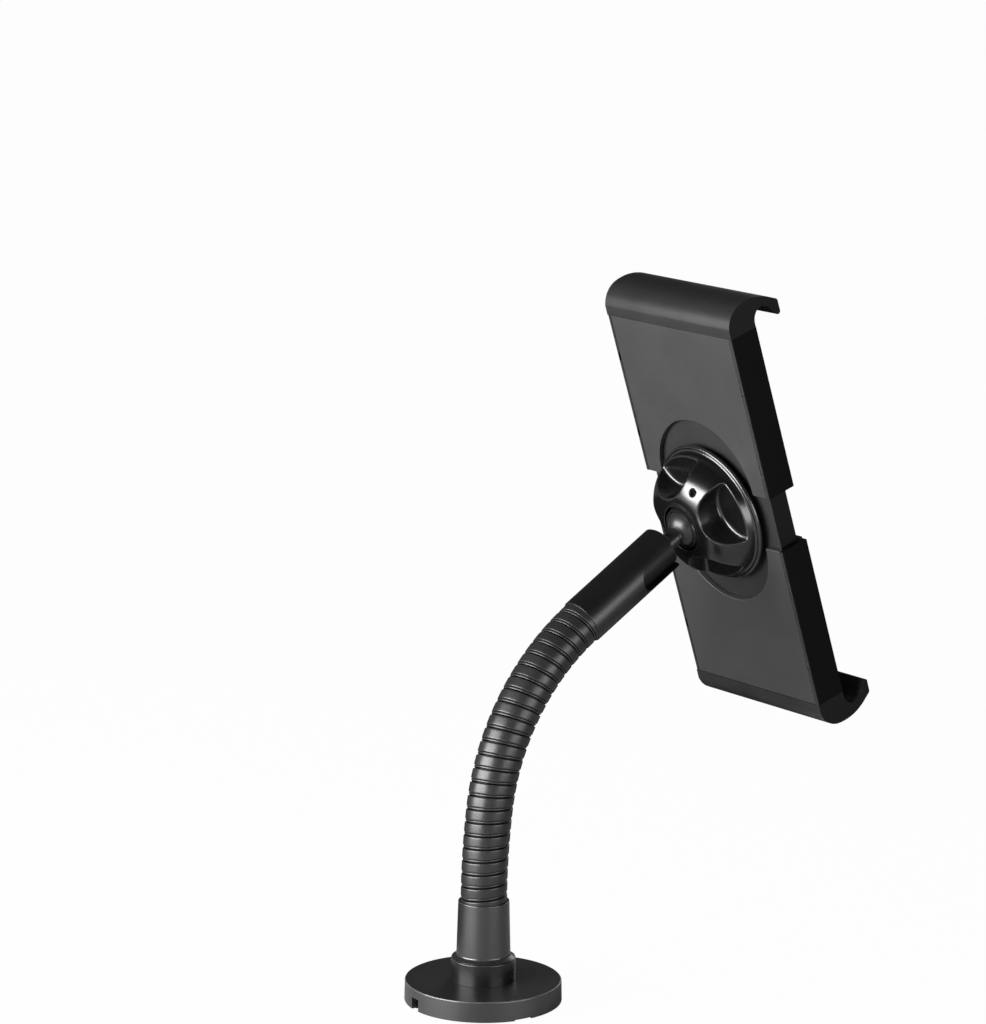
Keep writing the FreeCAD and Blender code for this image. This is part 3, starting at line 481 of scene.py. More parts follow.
class Wardrobe:
    """Builds each finish once and puts it on pieces."""

    facing: float = 0.8

    def __init__(self) -> None:
        """Starts with no material made."""
        self.made: dict[Surface, bpy.types.Material] = {}

    def material(self, surface: Surface) -> bpy.types.Material:
        """Material of a finish.

        Args:
            surface: The finish.

        Returns:
            Its material, made on first use.
        """
        if surface not in self.made:
            self.made[surface] = surface.value.build()
        return self.made[surface]

    def dress(self, piece: Piece, surface: Surface) -> None:
        """Gives a piece one finish all over.

        Args:
            piece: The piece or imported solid.
            surface: Its finish.
        """
        material = self.material(surface)
        if not piece.data.materials:
            piece.data.materials.append(material)
        for index in range(len(piece.data.materials)):
            piece.data.materials[index] = material

    def paint_light_by_facing(self, piece: Piece, surface: Surface, way: Vector) -> None:
        """Gives the faces that face one way another finish: a copy painted lighter or darker for
        the light on that side.

        Args:
            piece: The piece, already dressed.
            surface: The finish of those faces.
            way: The direction, of length 1.
        """
        piece.data.materials.append(self.material(surface))
        last = len(piece.data.materials) - 1
        for face in piece.data.polygons:
            if face.normal.dot(way) > self.facing:
                face.material_index = last


# Modelling

WELD = 0.001 * MM
PACKED_WELD = 0.002 * MM
FLAT_ANGLE = math.radians(0.6)
ROUNDED_ANGLE = math.radians(32.0)
# Bend at which an edge takes the full lighter tint of wear and painted highlight.
WEAR_AND_HIGHLIGHT_ANGLE = math.radians(20.0)
FLAT_FACE = 3.0 * MM * MM
MOULDED_ANGLE = 40.0
TURNED_ANGLE = 35.0


def rounded_outline(
    corners: Sequence[tuple[float, float, float]], steps: int = 4
) -> list[tuple[float, float]]:
    """Outline with a round at each corner.

    Args:
        corners: Place of each corner and how far its round sets back along both sides.
        steps: Straight stretches in each round.

    Returns:
        The outline's points, in the corners' order.
    """
    outline = []
    for index, (across, height, setback) in enumerate(corners):
        here = Vector((across, height))
        before = Vector(corners[index - 1][:2]) - here
        after = Vector(corners[(index + 1) % len(corners)][:2]) - here
        start = here + before.normalized() * setback
        end = here + after.normalized() * setback
        for step in range(steps + 1 if setback else 1):
            share = step / steps
            rest = 1.0 - share
            point = start * rest**2 + here * 2.0 * share * rest + end * share**2
            outline.append((point.x, point.y))
    return outline


def drop_selection() -> None:
    """Selects nothing, in object mode."""
    if bpy.context.object and bpy.context.object.mode != "OBJECT":
        bpy.ops.object.mode_set(mode="OBJECT")
    bpy.ops.object.select_all(action="DESELECT")


def pick(piece: Piece) -> None:
    """Selects one object alone and makes it active.

    Args:
        piece: The object.
    """
    drop_selection()
    piece.select_set(True)
    bpy.context.view_layer.objects.active = piece


@contextmanager
def editing(piece: Piece) -> Iterator[None]:
    """Edit mode in vertex mode, with everything selected.

    Args:
        piece: The object to edit.
    """
    pick(piece)
    bpy.ops.object.mode_set(mode="EDIT")
    bpy.ops.mesh.select_mode(type="VERT")
    bpy.ops.mesh.select_all(action="SELECT")
    yield
    bpy.ops.object.mode_set(mode="OBJECT")


def pick_edges(piece: Piece, wanted: Callable[[bmesh.types.BMEdge], bool]) -> None:
    """Selects the edges that a test wants, in edit mode.

    Args:
        piece: The object being edited.
        wanted: The test.
    """
    bpy.ops.mesh.select_mode(type="EDGE")
    bpy.ops.mesh.select_all(action="DESELECT")
    mesh = bmesh.from_edit_mesh(piece.data)
    for edge in mesh.edges:
        edge.select = wanted(edge)
    mesh.select_flush_mode()
    bmesh.update_edit_mesh(piece.data)


def draw_line(name: str, points: Sequence[Point]) -> Piece:
    """Open line of edges, drawn by extruding one vertex.

    Args:
        name: Name of the new object.
        points: The line's corners.

    Returns:
        The line, at the origin.
    """
    drop_selection()
    bpy.ops.mesh.primitive_plane_add(size=MM, location=ORIGIN)
    piece = bpy.context.object
    piece.name = name
    with editing(piece):
        bpy.ops.mesh.merge(type="CENTER")
        bpy.ops.transform.translate(value=points[0])
        for here, there in zip(points, points[1:]):
            step = Vector(there) - Vector(here)
            bpy.ops.mesh.extrude_vertices_move(TRANSFORM_OT_translate={"value": step})
    return piece


def turned(name: str, profile: Profile, steps: int) -> Piece:
    """Turned piece about the Z axis.

    Args:
        name: Name of the new object.
        profile: Its closed outline as (radius, height) pairs, in metres.
        steps: Facets round it.

    Returns:
        The piece, at the origin.
    """
    piece = draw_line(name, [(radius, 0.0, height) for radius, height in [*profile, profile[0]]])
    with editing(piece):
        bpy.ops.mesh.spin(
            steps=steps, angle=math.tau, center=ORIGIN, axis=UP, use_auto_merge=True
        )
        bpy.ops.mesh.select_all(action="SELECT")
        bpy.ops.mesh.remove_doubles(threshold=WELD)
        bpy.ops.mesh.normals_make_consistent(inside=False)
    return piece


def apply_modifier(piece: Piece, kind: str, **settings: Any) -> None:
    """Adds a modifier and applies it.

    Args:
        piece: The object.
        kind: The modifier's type.
        settings: The modifier's properties.
    """
    pick(piece)
    modifier = piece.modifiers.new(kind.title(), kind)
    for name, value in settings.items():
        setattr(modifier, name, value)
    bpy.ops.object.modifier_apply(modifier=modifier.name)


def shade_smooth(piece: Piece, degrees: float) -> None:
    """Shades smooth, except over edges sharper than an angle."""
    pick(piece)
    bpy.ops.object.shade_smooth_by_angle(angle=math.radians(degrees))


def add_bar(
    name: str, radius: float, low: float, high: float, at: Point = ORIGIN,
    sides: int = 96,
) -> Piece:
    """Upright round bar, as a cutting tool.

    Args:
        name: Name of the new object.
        radius: Its radius.
        low: Height of its lower end.
        high: Height of its upper end.
        at: Where its axis stands.
        sides: Facets round it.

    Returns:
        The bar, with its place in its mesh.
    """
    drop_selection()
    bpy.ops.mesh.primitive_cylinder_add(
        vertices=sides, radius=radius, depth=high - low,
        location=(at[0], at[1], (low + high) / 2.0),
    )
    return settled(name)


def add_block(name: str, low: Point, high: Point) -> Piece:
    """Box between two corners, as a cutting tool.

    Args:
        name: Name of the new object.
        low: Its lowest corner.
        high: Its highest corner.

    Returns:
        The box, with its place in its mesh.
    """
    drop_selection()
    centre = tuple((one + other) / 2.0 for one, other in zip(low, high))
    bpy.ops.mesh.primitive_cube_add(size=1.0, location=centre)
    bpy.ops.transform.resize(value=tuple(other - one for one, other in zip(low, high)))
    return settled(name)


def settled(name: str) -> Piece:
    """Names the active object and moves its place into its mesh.

    Args:
        name: The object's name.

    Returns:
        The object, at the origin.
    """
    piece = bpy.context.object
    piece.name = name
    bpy.ops.object.transform_apply(location=True, rotation=True, scale=True)
    return piece


def shift(piece: Piece, place: Matrix) -> None:
    """Moves a piece to a frame and its place into its mesh.

    Args:
        piece: The object.
        place: The frame.
    """
    pick(piece)
    piece.matrix_world = place
    settled(piece.name)


def twin(source: Piece, name: str) -> Piece:
    """Copy with a mesh of its own.

    Args:
        source: The object that is copied.
        name: Name of the copy.

    Returns:
        The copy.
    """
    piece = source.copy()
    piece.data = source.data.copy()
    piece.name = name
    bpy.context.scene.collection.objects.link(piece)
    return piece


def carve(piece: Piece, cutter: Piece) -> None:
    """Takes one solid away from another."""
    apply_modifier(piece, "BOOLEAN", operation="DIFFERENCE", solver="EXACT", object=cutter)
    bpy.data.objects.remove(cutter)


def write_values(piece: Piece, name: str, values: Sequence[float]) -> None:
    """Writes a value to each vertex, for the finishes to read."""
    attribute = piece.data.attributes.new(name, "FLOAT", "POINT")
    attribute.data.foreach_set("value", values)


def mark_edges(piece: Piece, largest_face: float) -> None:
    """Writes where the surface turns sharply, for the finishes to read.

    Args:
        piece: The object.
        largest_face: Faces above this area, in square metres, count as flat surface.
    """
    mesh = bmesh.new()
    mesh.from_mesh(piece.data)
    mesh.normal_update()
    values = []
    for vertex in mesh.verts:
        faces = vertex.link_faces
        bend = 0.0
        if faces and max(face.calc_area() for face in faces) < largest_face:
            bend = max(
                (edge.calc_face_angle(0.0) for edge in vertex.link_edges), default=0.0
            )
        values.append(min(bend / WEAR_AND_HIGHLIGHT_ANGLE, 1.0))
    mesh.free()
    write_values(piece, "edge", values)


def softened(node: Piece, name: str, width: float) -> Piece:
    """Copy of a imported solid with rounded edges.

    Args:
        node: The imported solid.
        name: Name of the new piece.
        width: Width of the rounding.

    Returns:
        The copy.
    """
    piece = twin(node, name)
    piece.parent = None
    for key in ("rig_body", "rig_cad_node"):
        del piece[key]
    with editing(piece):
        bpy.ops.mesh.remove_doubles(threshold=PACKED_WELD)
        bpy.ops.mesh.dissolve_limited(angle_limit=FLAT_ANGLE)
    apply_modifier(
        piece, "BEVEL", width=width, segments=3, limit_method="ANGLE",
        angle_limit=ROUNDED_ANGLE, use_clamp_overlap=True, miter_outer="MITER_ARC",
    )
    finish_surface(piece, MOULDED_ANGLE)
    return piece


def finish_surface(piece: Piece, degrees: float) -> None:
    """Marks the edges for the painted highlight and wear, and shades the piece, with large faces
    kept flat.

    Args:
        piece: The object.
        degrees: Edges sharper than this stay sharp.
    """
    mark_edges(piece, FLAT_FACE)
    shade_smooth(piece, degrees)
    apply_modifier(piece, "WEIGHTED_NORMAL", mode="FACE_AREA", weight=50, keep_sharp=True)


class Packed:
    """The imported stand: its solids, with the body and the material slot of each."""

    def __init__(self, frame: dict[str, Any]) -> None:
        """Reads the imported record.
        """
        record = frame["record"]
        self.nodes: dict[str, Piece] = frame["nodes"]
        self.joints = {joint["name"]: joint for joint in frame["joints"]}
        self.body_of = {
            node: body for body, nodes in record["behaviour"]["bodies"].items() for node in nodes
        }
        self.slot_of = {part["node"]: part["material_slot"] for part in record["subparts"]}

    def turning_frame(self, joint: str, past: float) -> Matrix:
        """Frame on a joint's axis, with X kept level across the stand.

        Args:
            joint: The joint whose axis is Z.
            past: How far the frame's origin lies past the joint's own place.

        Returns:
            The frame.
        """
        axis = Vector(self.joints[joint]["axis"]).normalized()
        place = Vector(self.joints[joint]["pos_m"]) + axis * past
        turn = Matrix((ACROSS, axis.cross(ACROSS), axis)).transposed()
        return Matrix.Translation(place) @ turn.to_4x4()


@dataclass
class SubAssembly:
    """Some of the stand's pieces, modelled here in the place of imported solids."""

    packed: Packed
    wardrobe: Wardrobe

    def install(self, piece: Piece, node: str, surface: Surface) -> Piece:
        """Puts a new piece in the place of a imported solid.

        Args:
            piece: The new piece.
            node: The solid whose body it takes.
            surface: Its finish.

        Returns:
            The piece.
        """
        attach(piece, self.packed.body_of[node])
        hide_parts(node)
        self.wardrobe.dress(piece, surface)
        return piece

    def build(self) -> list[Piece]:
        """Makes and dresses the sub-assembly's pieces."""
        raise NotImplementedError


# Neck


@dataclass(frozen=True)
class NeckLine:
    """Centre line of the neck: two tangent arcs that start straight up."""

    start_height: float = 43.1 * MM
    low_radius: float = 297.2 * MM
    low_turn: float = math.radians(7.55)
    high_radius: float = 100.6 * MM
    high_turn: float = math.radians(51.15)

    @property
    def length(self) -> float:
        """Length of the whole line."""
        return self.low_radius * self.low_turn + self.high_radius * self.high_turn

    def angle(self, along: float) -> float:
        """Lean of the line.

        Args:
            along: Distance from its start.

        Returns:
            The angle from upright.
        """
        low_length = self.low_radius * self.low_turn
        inside = min(max(along, 0.0), self.length)
        low = min(inside / self.low_radius, self.low_turn)
        return low + max(inside - low_length, 0.0) / self.high_radius

    def point(self, along: float) -> Vector:
        """Point of the line.

        Args:
            along: Distance from its start; past the ends it runs on straight.

        Returns:
            The point.
        """
        inside = min(max(along, 0.0), self.length)
        angle = self.angle(inside)
        low = min(angle, self.low_turn)
        forward = self.low_radius * (1.0 - math.cos(low))
        height = self.low_radius * math.sin(low)
        forward += self.high_radius * (math.cos(low) - math.cos(angle))
        height += self.high_radius * (math.sin(angle) - math.sin(low))
        past = along - inside
        forward += past * math.sin(angle)
        height += past * math.cos(angle)
        return Vector((0.0, -forward, self.start_height + height))


@dataclass
class WoundNeck(SubAssembly):
    """Flexible neck: one strip wound round the line, split at the middle of each link.

    The windings of from_above list their two ends from the upper body down.
    """

    line: NeckLine
    turns: int = 24
    links: int = 12
    bore_radius: float = 5.0 * MM
    steps: int = 80
    low_overlap: float = 1.9 * MM
    high_overlap: float = 1.5 * MM
    blend_margin: float = 0.6 * MM
    guide_points: int = 260
    # Depth in the groove where its painted shade starts; it is full at twice this depth.
    groove_shade_step: float = 0.35 * MM
    cut_precision: float = 0.0001 * MM
    cut_weld: float = 0.0005 * MM
    smooth_angle: float = 50.0
    flat_face: float = 1.2 * MM * MM
    from_above: tuple[int, ...] = (7, 11)
    strip: Profile = (
        (9.00, 0.00), (9.16, 0.02), (9.31, 0.13), (9.38, 0.34), (9.38, 0.62), (9.28, 0.84),
        (9.08, 0.94), (9.04, 1.00), (9.40, 1.04), (9.59, 1.10), (9.665, 1.24), (9.675, 1.60),
        (9.675, 2.90), (9.675, 4.36), (9.66, 4.66), (9.58, 4.82), (9.40, 4.91), (9.16, 4.95),
        (9.00, 4.97), (9.00, 5.374),
    )

    def bodies(self) -> list[str]:
        """Names of the bodies from the base up."""
        middle = ["neck_%02d" % index for index in range(2, self.links)]
        return ["stand", *middle, "sleeve"]

    def straight_strip(self) -> Piece:
        """Wound strip along Z, one turn longer than the neck at both ends."""
        pitch = self.line.length / self.turns
        stretch = pitch / (self.strip[-1][1] * MM)
        points = [
            (radius * MM, 0.0, height * MM * stretch - pitch) for radius, height in self.strip
        ]
        piece = draw_line("wound_strip", points)
        apply_modifier(
            piece, "SCREW", axis="Z", angle=math.tau, screw_offset=pitch,
            iterations=self.turns + 2, steps=self.steps, render_steps=self.steps,
            use_merge_vertices=True, merge_threshold=WELD,
        )
        # Painted shade: a share for each vertex by how deep it lies in the grooves, for the
        # neck's finish to colour them dark.
        crest = max(radius for radius, _ in self.strip) * MM
        depths = [crest - vertex.co.xy.length for vertex in piece.data.vertices]
        groove_shade_shares = [min(max(depth / self.groove_shade_step - 1.0, 0.0), 1.0) for depth in depths]
        write_values(piece, "painted_groove_shade", groove_shade_shares)
        return piece

    def guide(self) -> Piece:
        """Curve that the straight pieces are bent along."""
        data = bpy.data.curves.new("neck_guide", "CURVE")
        data.dimensions = "3D"
        spline = data.splines.new("POLY")
        spline.points.add(self.guide_points - 1)
        for index, point in enumerate(spline.points):
            along = self.line.length * index / (self.guide_points - 1)
            point.co = (*self.line.point(along), 1.0)
        guide = bpy.data.objects.new("neck_guide", data)
        bpy.context.scene.collection.objects.link(guide)
        return guide

    def cut(self, piece: Piece, low: float, high: float) -> None:
        """Keeps the part of a straight piece between two heights and closes it with a bore.

        Args:
            piece: The wound strip.
            low: Lowest height kept.
            high: Highest height kept.
        """
        with editing(piece):
            for height, keep_above in ((low, True), (high, False)):
                bpy.ops.mesh.select_all(action="SELECT")
                bpy.ops.mesh.bisect(
                    plane_co=UP * height, plane_no=UP, clear_inner=keep_above,
                    clear_outer=not keep_above, threshold=self.cut_precision,
                )
            bpy.ops.mesh.select_all(action="SELECT")
            bpy.ops.mesh.remove_doubles(threshold=self.cut_weld)
            shrink = self.bore_radius / (self.strip[0][0] * MM)
            for height in (low, high):
                pick_edges(
                    piece,
                    lambda edge: edge.is_boundary
                    and all(abs(vertex.co.z - height) < WELD for vertex in edge.verts),
                )
                bpy.ops.mesh.extrude_edges_move(TRANSFORM_OT_translate={"value": ORIGIN})
                bpy.ops.transform.resize(
                    value=(shrink, shrink, 1.0), center_override=UP * height
                )
            pick_edges(piece, lambda edge: edge.is_boundary)
            bpy.ops.mesh.bridge_edge_loops()
            bpy.ops.mesh.select_all(action="SELECT")
            bpy.ops.mesh.normals_make_consistent(inside=False)

    def winding(self, strip: Piece, guide: Piece, index: int) -> Piece:
        """Winding across one joint, bent along the neck.

        Args:
            strip: The straight strip.
            guide: The neck's curve.
            index: The joint's number, from 1 at the base.

        Returns:
            The winding, across the joint.
        """
        link = self.line.length / self.links
        low, high = (index - 0.5) * link, (index + 0.5) * link
        first, last = index == 1, index == self.links - 1
        piece = twin(strip, "neck_winding_%02d" % index)
        self.cut(
            piece,
            -self.low_overlap if first else low,
            self.line.length + self.high_overlap if last else high,
        )
        apply_modifier(piece, "CURVE", object=guide, deform_axis="POS_Z")
        mark_edges(piece, self.flat_face)
        shade_smooth(piece, self.smooth_angle)
        self.wardrobe.dress(piece, Surface.NECK)
        bodies = self.bodies()
        ends = [
            (bodies[index - 1], self.line.point(low + self.blend_margin)),
            (bodies[index], self.line.point(high - self.blend_margin)),
        ]
        if index in self.from_above:
            ends.reverse()
        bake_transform(piece)
        links = (index, self.links) if last else (index,)
        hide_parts(*("gooseneck_link_%02d" % number for number in links))
        return piece

    def build(self) -> list[Piece]:
        """Makes the wound pieces, one across each joint.

        Returns:
            The pieces.
        """
        strip = self.straight_strip()
        guide = self.guide()
        made = [self.winding(strip, guide, index) for index in range(1, self.links)]
        bpy.data.objects.remove(strip)
        bpy.data.objects.remove(guide)
        return made


# Base and collar


@dataclass
class Base(SubAssembly):
    """Turned base cover with its key notch and pry slot, and the hub ring on it."""

    low_radius: float = 32.9 * MM
    top_radius: float = 32.7 * MM
    lift: float = 0.3 * MM
    height: float = 9.1 * MM
    roof: float = 1.8 * MM
    wall: float = 2.0 * MM
    bore_radius: float = 6.3 * MM
    roof_round: float = 0.3 * MM
    foot_inner_round: float = 0.2 * MM
    foot_outer_round: float = 0.25 * MM
    edge_round: float = 0.55 * MM
    key_width: float = 5.2 * MM
    key_height: float = 5.3 * MM
    key_turn: float = math.radians(83.4)
    pry_width: float = 8.0 * MM
    pry_height: float = 1.1 * MM
    pry_turn: float = math.radians(173.4)
    hub_radius: float = 13.5 * MM
    hub_height: float = 9.4 * MM
    flange_radius: float = 11.0 * MM
    flange_depth: float = 3.0 * MM
    flange_round: float = 0.1 * MM
    hub_foot_round: float = 0.12 * MM
    hub_round: float = 0.5 * MM
    steps: int = 160

    def rim_cutter(self, name: str, width: float, height: float, turn: float) -> Piece:
        """Tool that opens the cover's rim from below.

        Args:
            name: The tool's name.
            width: Width of the opening.
            height: Its height above the table.
            turn: Its place round the base.

        Returns:
            The tool.
        """
        inner = self.low_radius - self.wall - MM
        outer = self.low_radius + MM
        tool = add_block(name, (inner, -width / 2.0, -MM), (outer, width / 2.0, height))
        shift(tool, Matrix.Rotation(turn, 4, "Z"))
        return tool

    def cover(self) -> Piece:
        """Cover with a rounded rim.

        Returns:
            The cover.
        """
        inner = self.low_radius - self.wall
        under = self.height - self.roof
        piece = turned("base_shell", rounded_outline([
            (self.bore_radius, under, 0.0),
            (inner, under, self.roof_round),
            (inner, self.lift, self.foot_inner_round),
            (self.low_radius, self.lift, self.foot_outer_round),
            (self.top_radius, self.height, self.edge_round),
            (self.bore_radius, self.height, 0.0),
        ]), self.steps)
        for cutter in (
            self.rim_cutter("key", self.key_width, self.key_height, self.key_turn),
            self.rim_cutter("pry", self.pry_width, self.pry_height, self.pry_turn),
        ):
            carve(piece, cutter)
        finish_surface(piece, TURNED_ANGLE)
        return piece

    def hub(self) -> Piece:
        """Hub ring with a rounded top edge.

        Returns:
            The ring.
        """
        top = self.height + self.hub_height
        piece = turned("hub_body", rounded_outline([
            (self.bore_radius, self.height, 0.0),
            (self.hub_radius, self.height, self.hub_foot_round),
            (self.hub_radius, top, self.hub_round),
            (self.flange_radius, top, self.flange_round),
            (self.flange_radius, top - self.flange_depth, 0.0),
            (self.bore_radius, top - self.flange_depth, 0.0),
        ]), self.steps)
        finish_surface(piece, TURNED_ANGLE)
        return piece

    def build(self) -> list[Piece]:
        """Makes and dresses the base's turned pieces.

        Returns:
            The pieces.
        """
        return [
            self.install(self.cover(), "base_cover", Surface.BASE),
            self.install(self.hub(), "hub_ring", Surface.HUB),
        ]


@dataclass
class Collar(SubAssembly):
    """Tapered collar round the neck's lower end, with its set screw's hole."""

    foot_height: float = 18.8 * MM
    top_height: float = 43.1 * MM
    foot_radius: float = 13.3 * MM
    foot_rise: float = 1.4 * MM
    low_radius: float = 11.3 * MM
    top_radius: float = 10.65 * MM
    bore_radius: float = 9.72 * MM
    rim_radius: float = 9.95 * MM
    rim_depth: float = 2.0 * MM
    fine_round: float = 0.15 * MM
    cone_round: float = 0.5 * MM
    top_round: float = 0.3 * MM
    screw_radius: float = 1.5 * MM
    screw_rise: float = 10.0 * MM
    steps: int = 160

    def build(self) -> list[Piece]:
        """Makes and dresses the collar.

        Returns:
            The collar.
        """
        piece = turned("collar_body", rounded_outline([
            (self.bore_radius, self.foot_height, 0.0),
            (self.foot_radius, self.foot_height, self.fine_round),
            (self.low_radius, self.foot_height + self.foot_rise, self.cone_round),
            (self.top_radius, self.top_height, self.top_round),
            (self.rim_radius, self.top_height, self.fine_round),
            (self.rim_radius, self.top_height - self.rim_depth, 0.0),
            (self.bore_radius, self.top_height - self.rim_depth, 0.0),
        ]), self.steps)
        hole = add_bar("screw_hole", self.screw_radius, 0.0, 2.0 * self.foot_radius, sides=32)
        centre = UP * (self.foot_height + self.screw_rise)
        sideways = Matrix.Rotation(math.radians(90.0), 4, "Y")
        shift(hole, Matrix.Translation(centre) @ sideways)
        carve(piece, hole)
        finish_surface(piece, TURNED_ANGLE)
        return [self.install(piece, "neck_collar", Surface.COLLAR)]


# Knob


@dataclass
class ClampKnob(SubAssembly):
    """Knob with four deep finger pockets, hollow below, in the frame of its own axis."""

    ball_height: float = 30.0 * MM
    flange_radius: float = 31.0 * MM
    flange_low: float = 15.5 * MM
    flange_top: float = 17.3 * MM
    skirt_radius: float = 28.8 * MM
    dome_middle: tuple[float, float] = (24.2 * MM, 27.6 * MM)
    ring_radius: float = 12.35 * MM
    ring_height: float = 33.5 * MM
    mouth_radius: float = 10.15 * MM
    mouth_height: float = 34.0 * MM
    bore_radius: float = 12.1 * MM
    bore_cone_height: float = 27.4 * MM
    hub_low: float = 15.0 * MM
    hub_radius: float = 14.5 * MM
    hollow_radius: float = 27.0 * MM
    hollow_height: float = 19.3 * MM
    pocket_count: int = 4
    pocket_turn: float = math.radians(16.0)
    pocket_radius: float = 13.6 * MM
    pocket_out: float = 27.2 * MM
    pocket_floor: float = 21.0 * MM
    pocket_round: float = 1.3 * MM
    screw_turn: float = math.radians(240.0)
    screw_out: float = 20.0 * MM
    screw_radius: float = 1.55 * MM
    screw_floor: float = 24.0 * MM
    dome_steps: int = 24
    steps: int = 192
    pocket_round_steps: int = 5
    lip_round: float = 0.6 * MM
    grid: float = 0.36 * MM
    smoothing: int = 5
    smoothing_factor: float = 0.5
    smooth_angle: float = 60.0
    flat_face: float = 1.0 * MM * MM

    def dome(self) -> list[tuple[float, float]]:
        """Points of the dome's arc from the skirt up to the ring, by the circle through three.

        Returns:
            The points as (radius, height) pairs.
        """
        first = Vector((self.skirt_radius, self.flange_top))
        middle = Vector(self.dome_middle)
        last = Vector((self.ring_radius, self.ring_height))
        one, two = middle - first, last - first
        area = 2.0 * (one.x * two.y - one.y * two.x)
        centre = first + Vector((
            (two.y * one.length_squared - one.y * two.length_squared) / area,
            (one.x * two.length_squared - two.x * one.length_squared) / area,
        ))
        start = math.atan2(first.y - centre.y, first.x - centre.x)
        end = math.atan2(last.y - centre.y, last.x - centre.x)
        radius = (first - centre).length
        steps = range(self.dome_steps + 1)
        angles = [start + (end - start) * step / self.dome_steps for step in steps]
        return [
            (centre.x + radius * math.cos(angle), centre.y + radius * math.sin(angle))
            for angle in angles
        ]

    def bore(
        self, name: str, radius: float, floor: float, out: float, turn: float
    ) -> Piece:
        """Round tool that opens the dome from above."""
        at = (out * math.cos(turn), out * math.sin(turn), 0.0)
        return add_bar(name, radius, floor, self.mouth_height + MM, at)

    def build(self) -> list[Piece]:
        """Turns, carves and rounds the knob.

        Returns:
            The knob.
        """
        profile = [
            (self.mouth_radius, self.mouth_height),
            (self.bore_radius, self.bore_cone_height),
            (self.bore_radius, self.hub_low),
            (self.hub_radius, self.hub_low),
            (self.hub_radius, self.hollow_height),
            (self.hollow_radius, self.hollow_height),
            (self.hollow_radius, self.flange_low),
            (self.flange_radius, self.flange_low),
            (self.flange_radius, self.flange_top - self.lip_round),
            (self.flange_radius - self.lip_round, self.flange_top),
        ] + self.dome()
        piece = turned("knob_body", profile, self.steps)
        for index in range(self.pocket_count):
            turn = self.pocket_turn + math.tau * index / self.pocket_count
            pocket = self.bore(
                "pocket", self.pocket_radius, self.pocket_floor, self.pocket_out, turn
            )
            apply_modifier(
                pocket, "BEVEL", width=self.pocket_round, segments=self.pocket_round_steps,
                limit_method="ANGLE",
            )
            carve(piece, pocket)
        carve(piece, self.bore(
            "screw_hole", self.screw_radius, self.screw_floor, self.screw_out, self.screw_turn
        ))
        apply_modifier(piece, "REMESH", mode="VOXEL", voxel_size=self.grid)
        apply_modifier(
            piece, "SMOOTH", factor=self.smoothing_factor, iterations=self.smoothing
        )
        shift(piece, self.packed.turning_frame("knob_turn", -self.ball_height))
        mark_edges(piece, self.flat_face)
        shade_smooth(piece, self.smooth_angle)
        return [self.install(piece, "clamp_knob", Surface.KNOB)]


# Sleeve and holder


@dataclass
class Mouldings(SubAssembly):
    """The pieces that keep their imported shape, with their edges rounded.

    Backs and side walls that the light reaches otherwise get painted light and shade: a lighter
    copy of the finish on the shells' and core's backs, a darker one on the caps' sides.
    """

    sleeve_round: float = 0.35 * MM
    fine_round: float = 0.30 * MM
    cap_round: float = 0.45 * MM
    pad_round: float = 0.25 * MM
    lip_round: float = 0.18 * MM

    def plan(self) -> list[tuple[str, str, float, Surface]]:
        """What is made: solid, name of the new piece, width of its rounding and finish.

        Returns:
            One row for each piece.
        """
        rows = [
            ("neck_sleeve", "sleeve_tube", self.sleeve_round, Surface.SLEEVE),
            ("core_frame", "core_box", self.fine_round, Surface.CORE),
            ("ball_collet", "slit_collet", self.lip_round, Surface.COLLET),
        ]
        for jaw in ("lower", "upper"):
            rows += [
                (jaw + "_jaw_cover", jaw + "_back_cover", self.fine_round, Surface.COVER),
                (jaw + "_jaw_shell", jaw + "_channel_shell", self.fine_round, Surface.SHELL),
                (jaw + "_jaw_end_cap", jaw + "_hook_cap", self.cap_round, Surface.CAP),
                (jaw + "_jaw_hook_pad", jaw + "_hook_lining", self.pad_round, Surface.RUBBER),
                (jaw + "_jaw_floor_pad", jaw + "_floor_mat", self.pad_round, Surface.RUBBER),
            ]
        return rows

    def build(self) -> list[Piece]:
        """Rounds and dresses the pieces.

        Returns:
            The pieces.
        """
        back = self.packed.turning_frame("knob_turn", 0.0).to_3x3() @ UP
        # Painted light and shade: the backs of shell and core get a lighter copy of the finish,
        # the caps' sides a darker one.
        facing = {
            Surface.SHELL: (Surface.PAINTED_LIT_BACK, (back,)),
            Surface.CORE: (Surface.PAINTED_LIT_BACK, (back,)),
            Surface.CAP: (Surface.PAINTED_SHADE_CAP_SIDE, (ACROSS, -ACROSS)),
        }
        made = []
        for node, name, width, surface in self.plan():
            piece = softened(self.packed.nodes[node], name, width)
            self.install(piece, node, surface)
            other, ways = facing.get(surface, (surface, ()))
            for way in ways:
                self.wardrobe.paint_light_by_facing(piece, other, way)
            made.append(piece)
        return made


# Studio


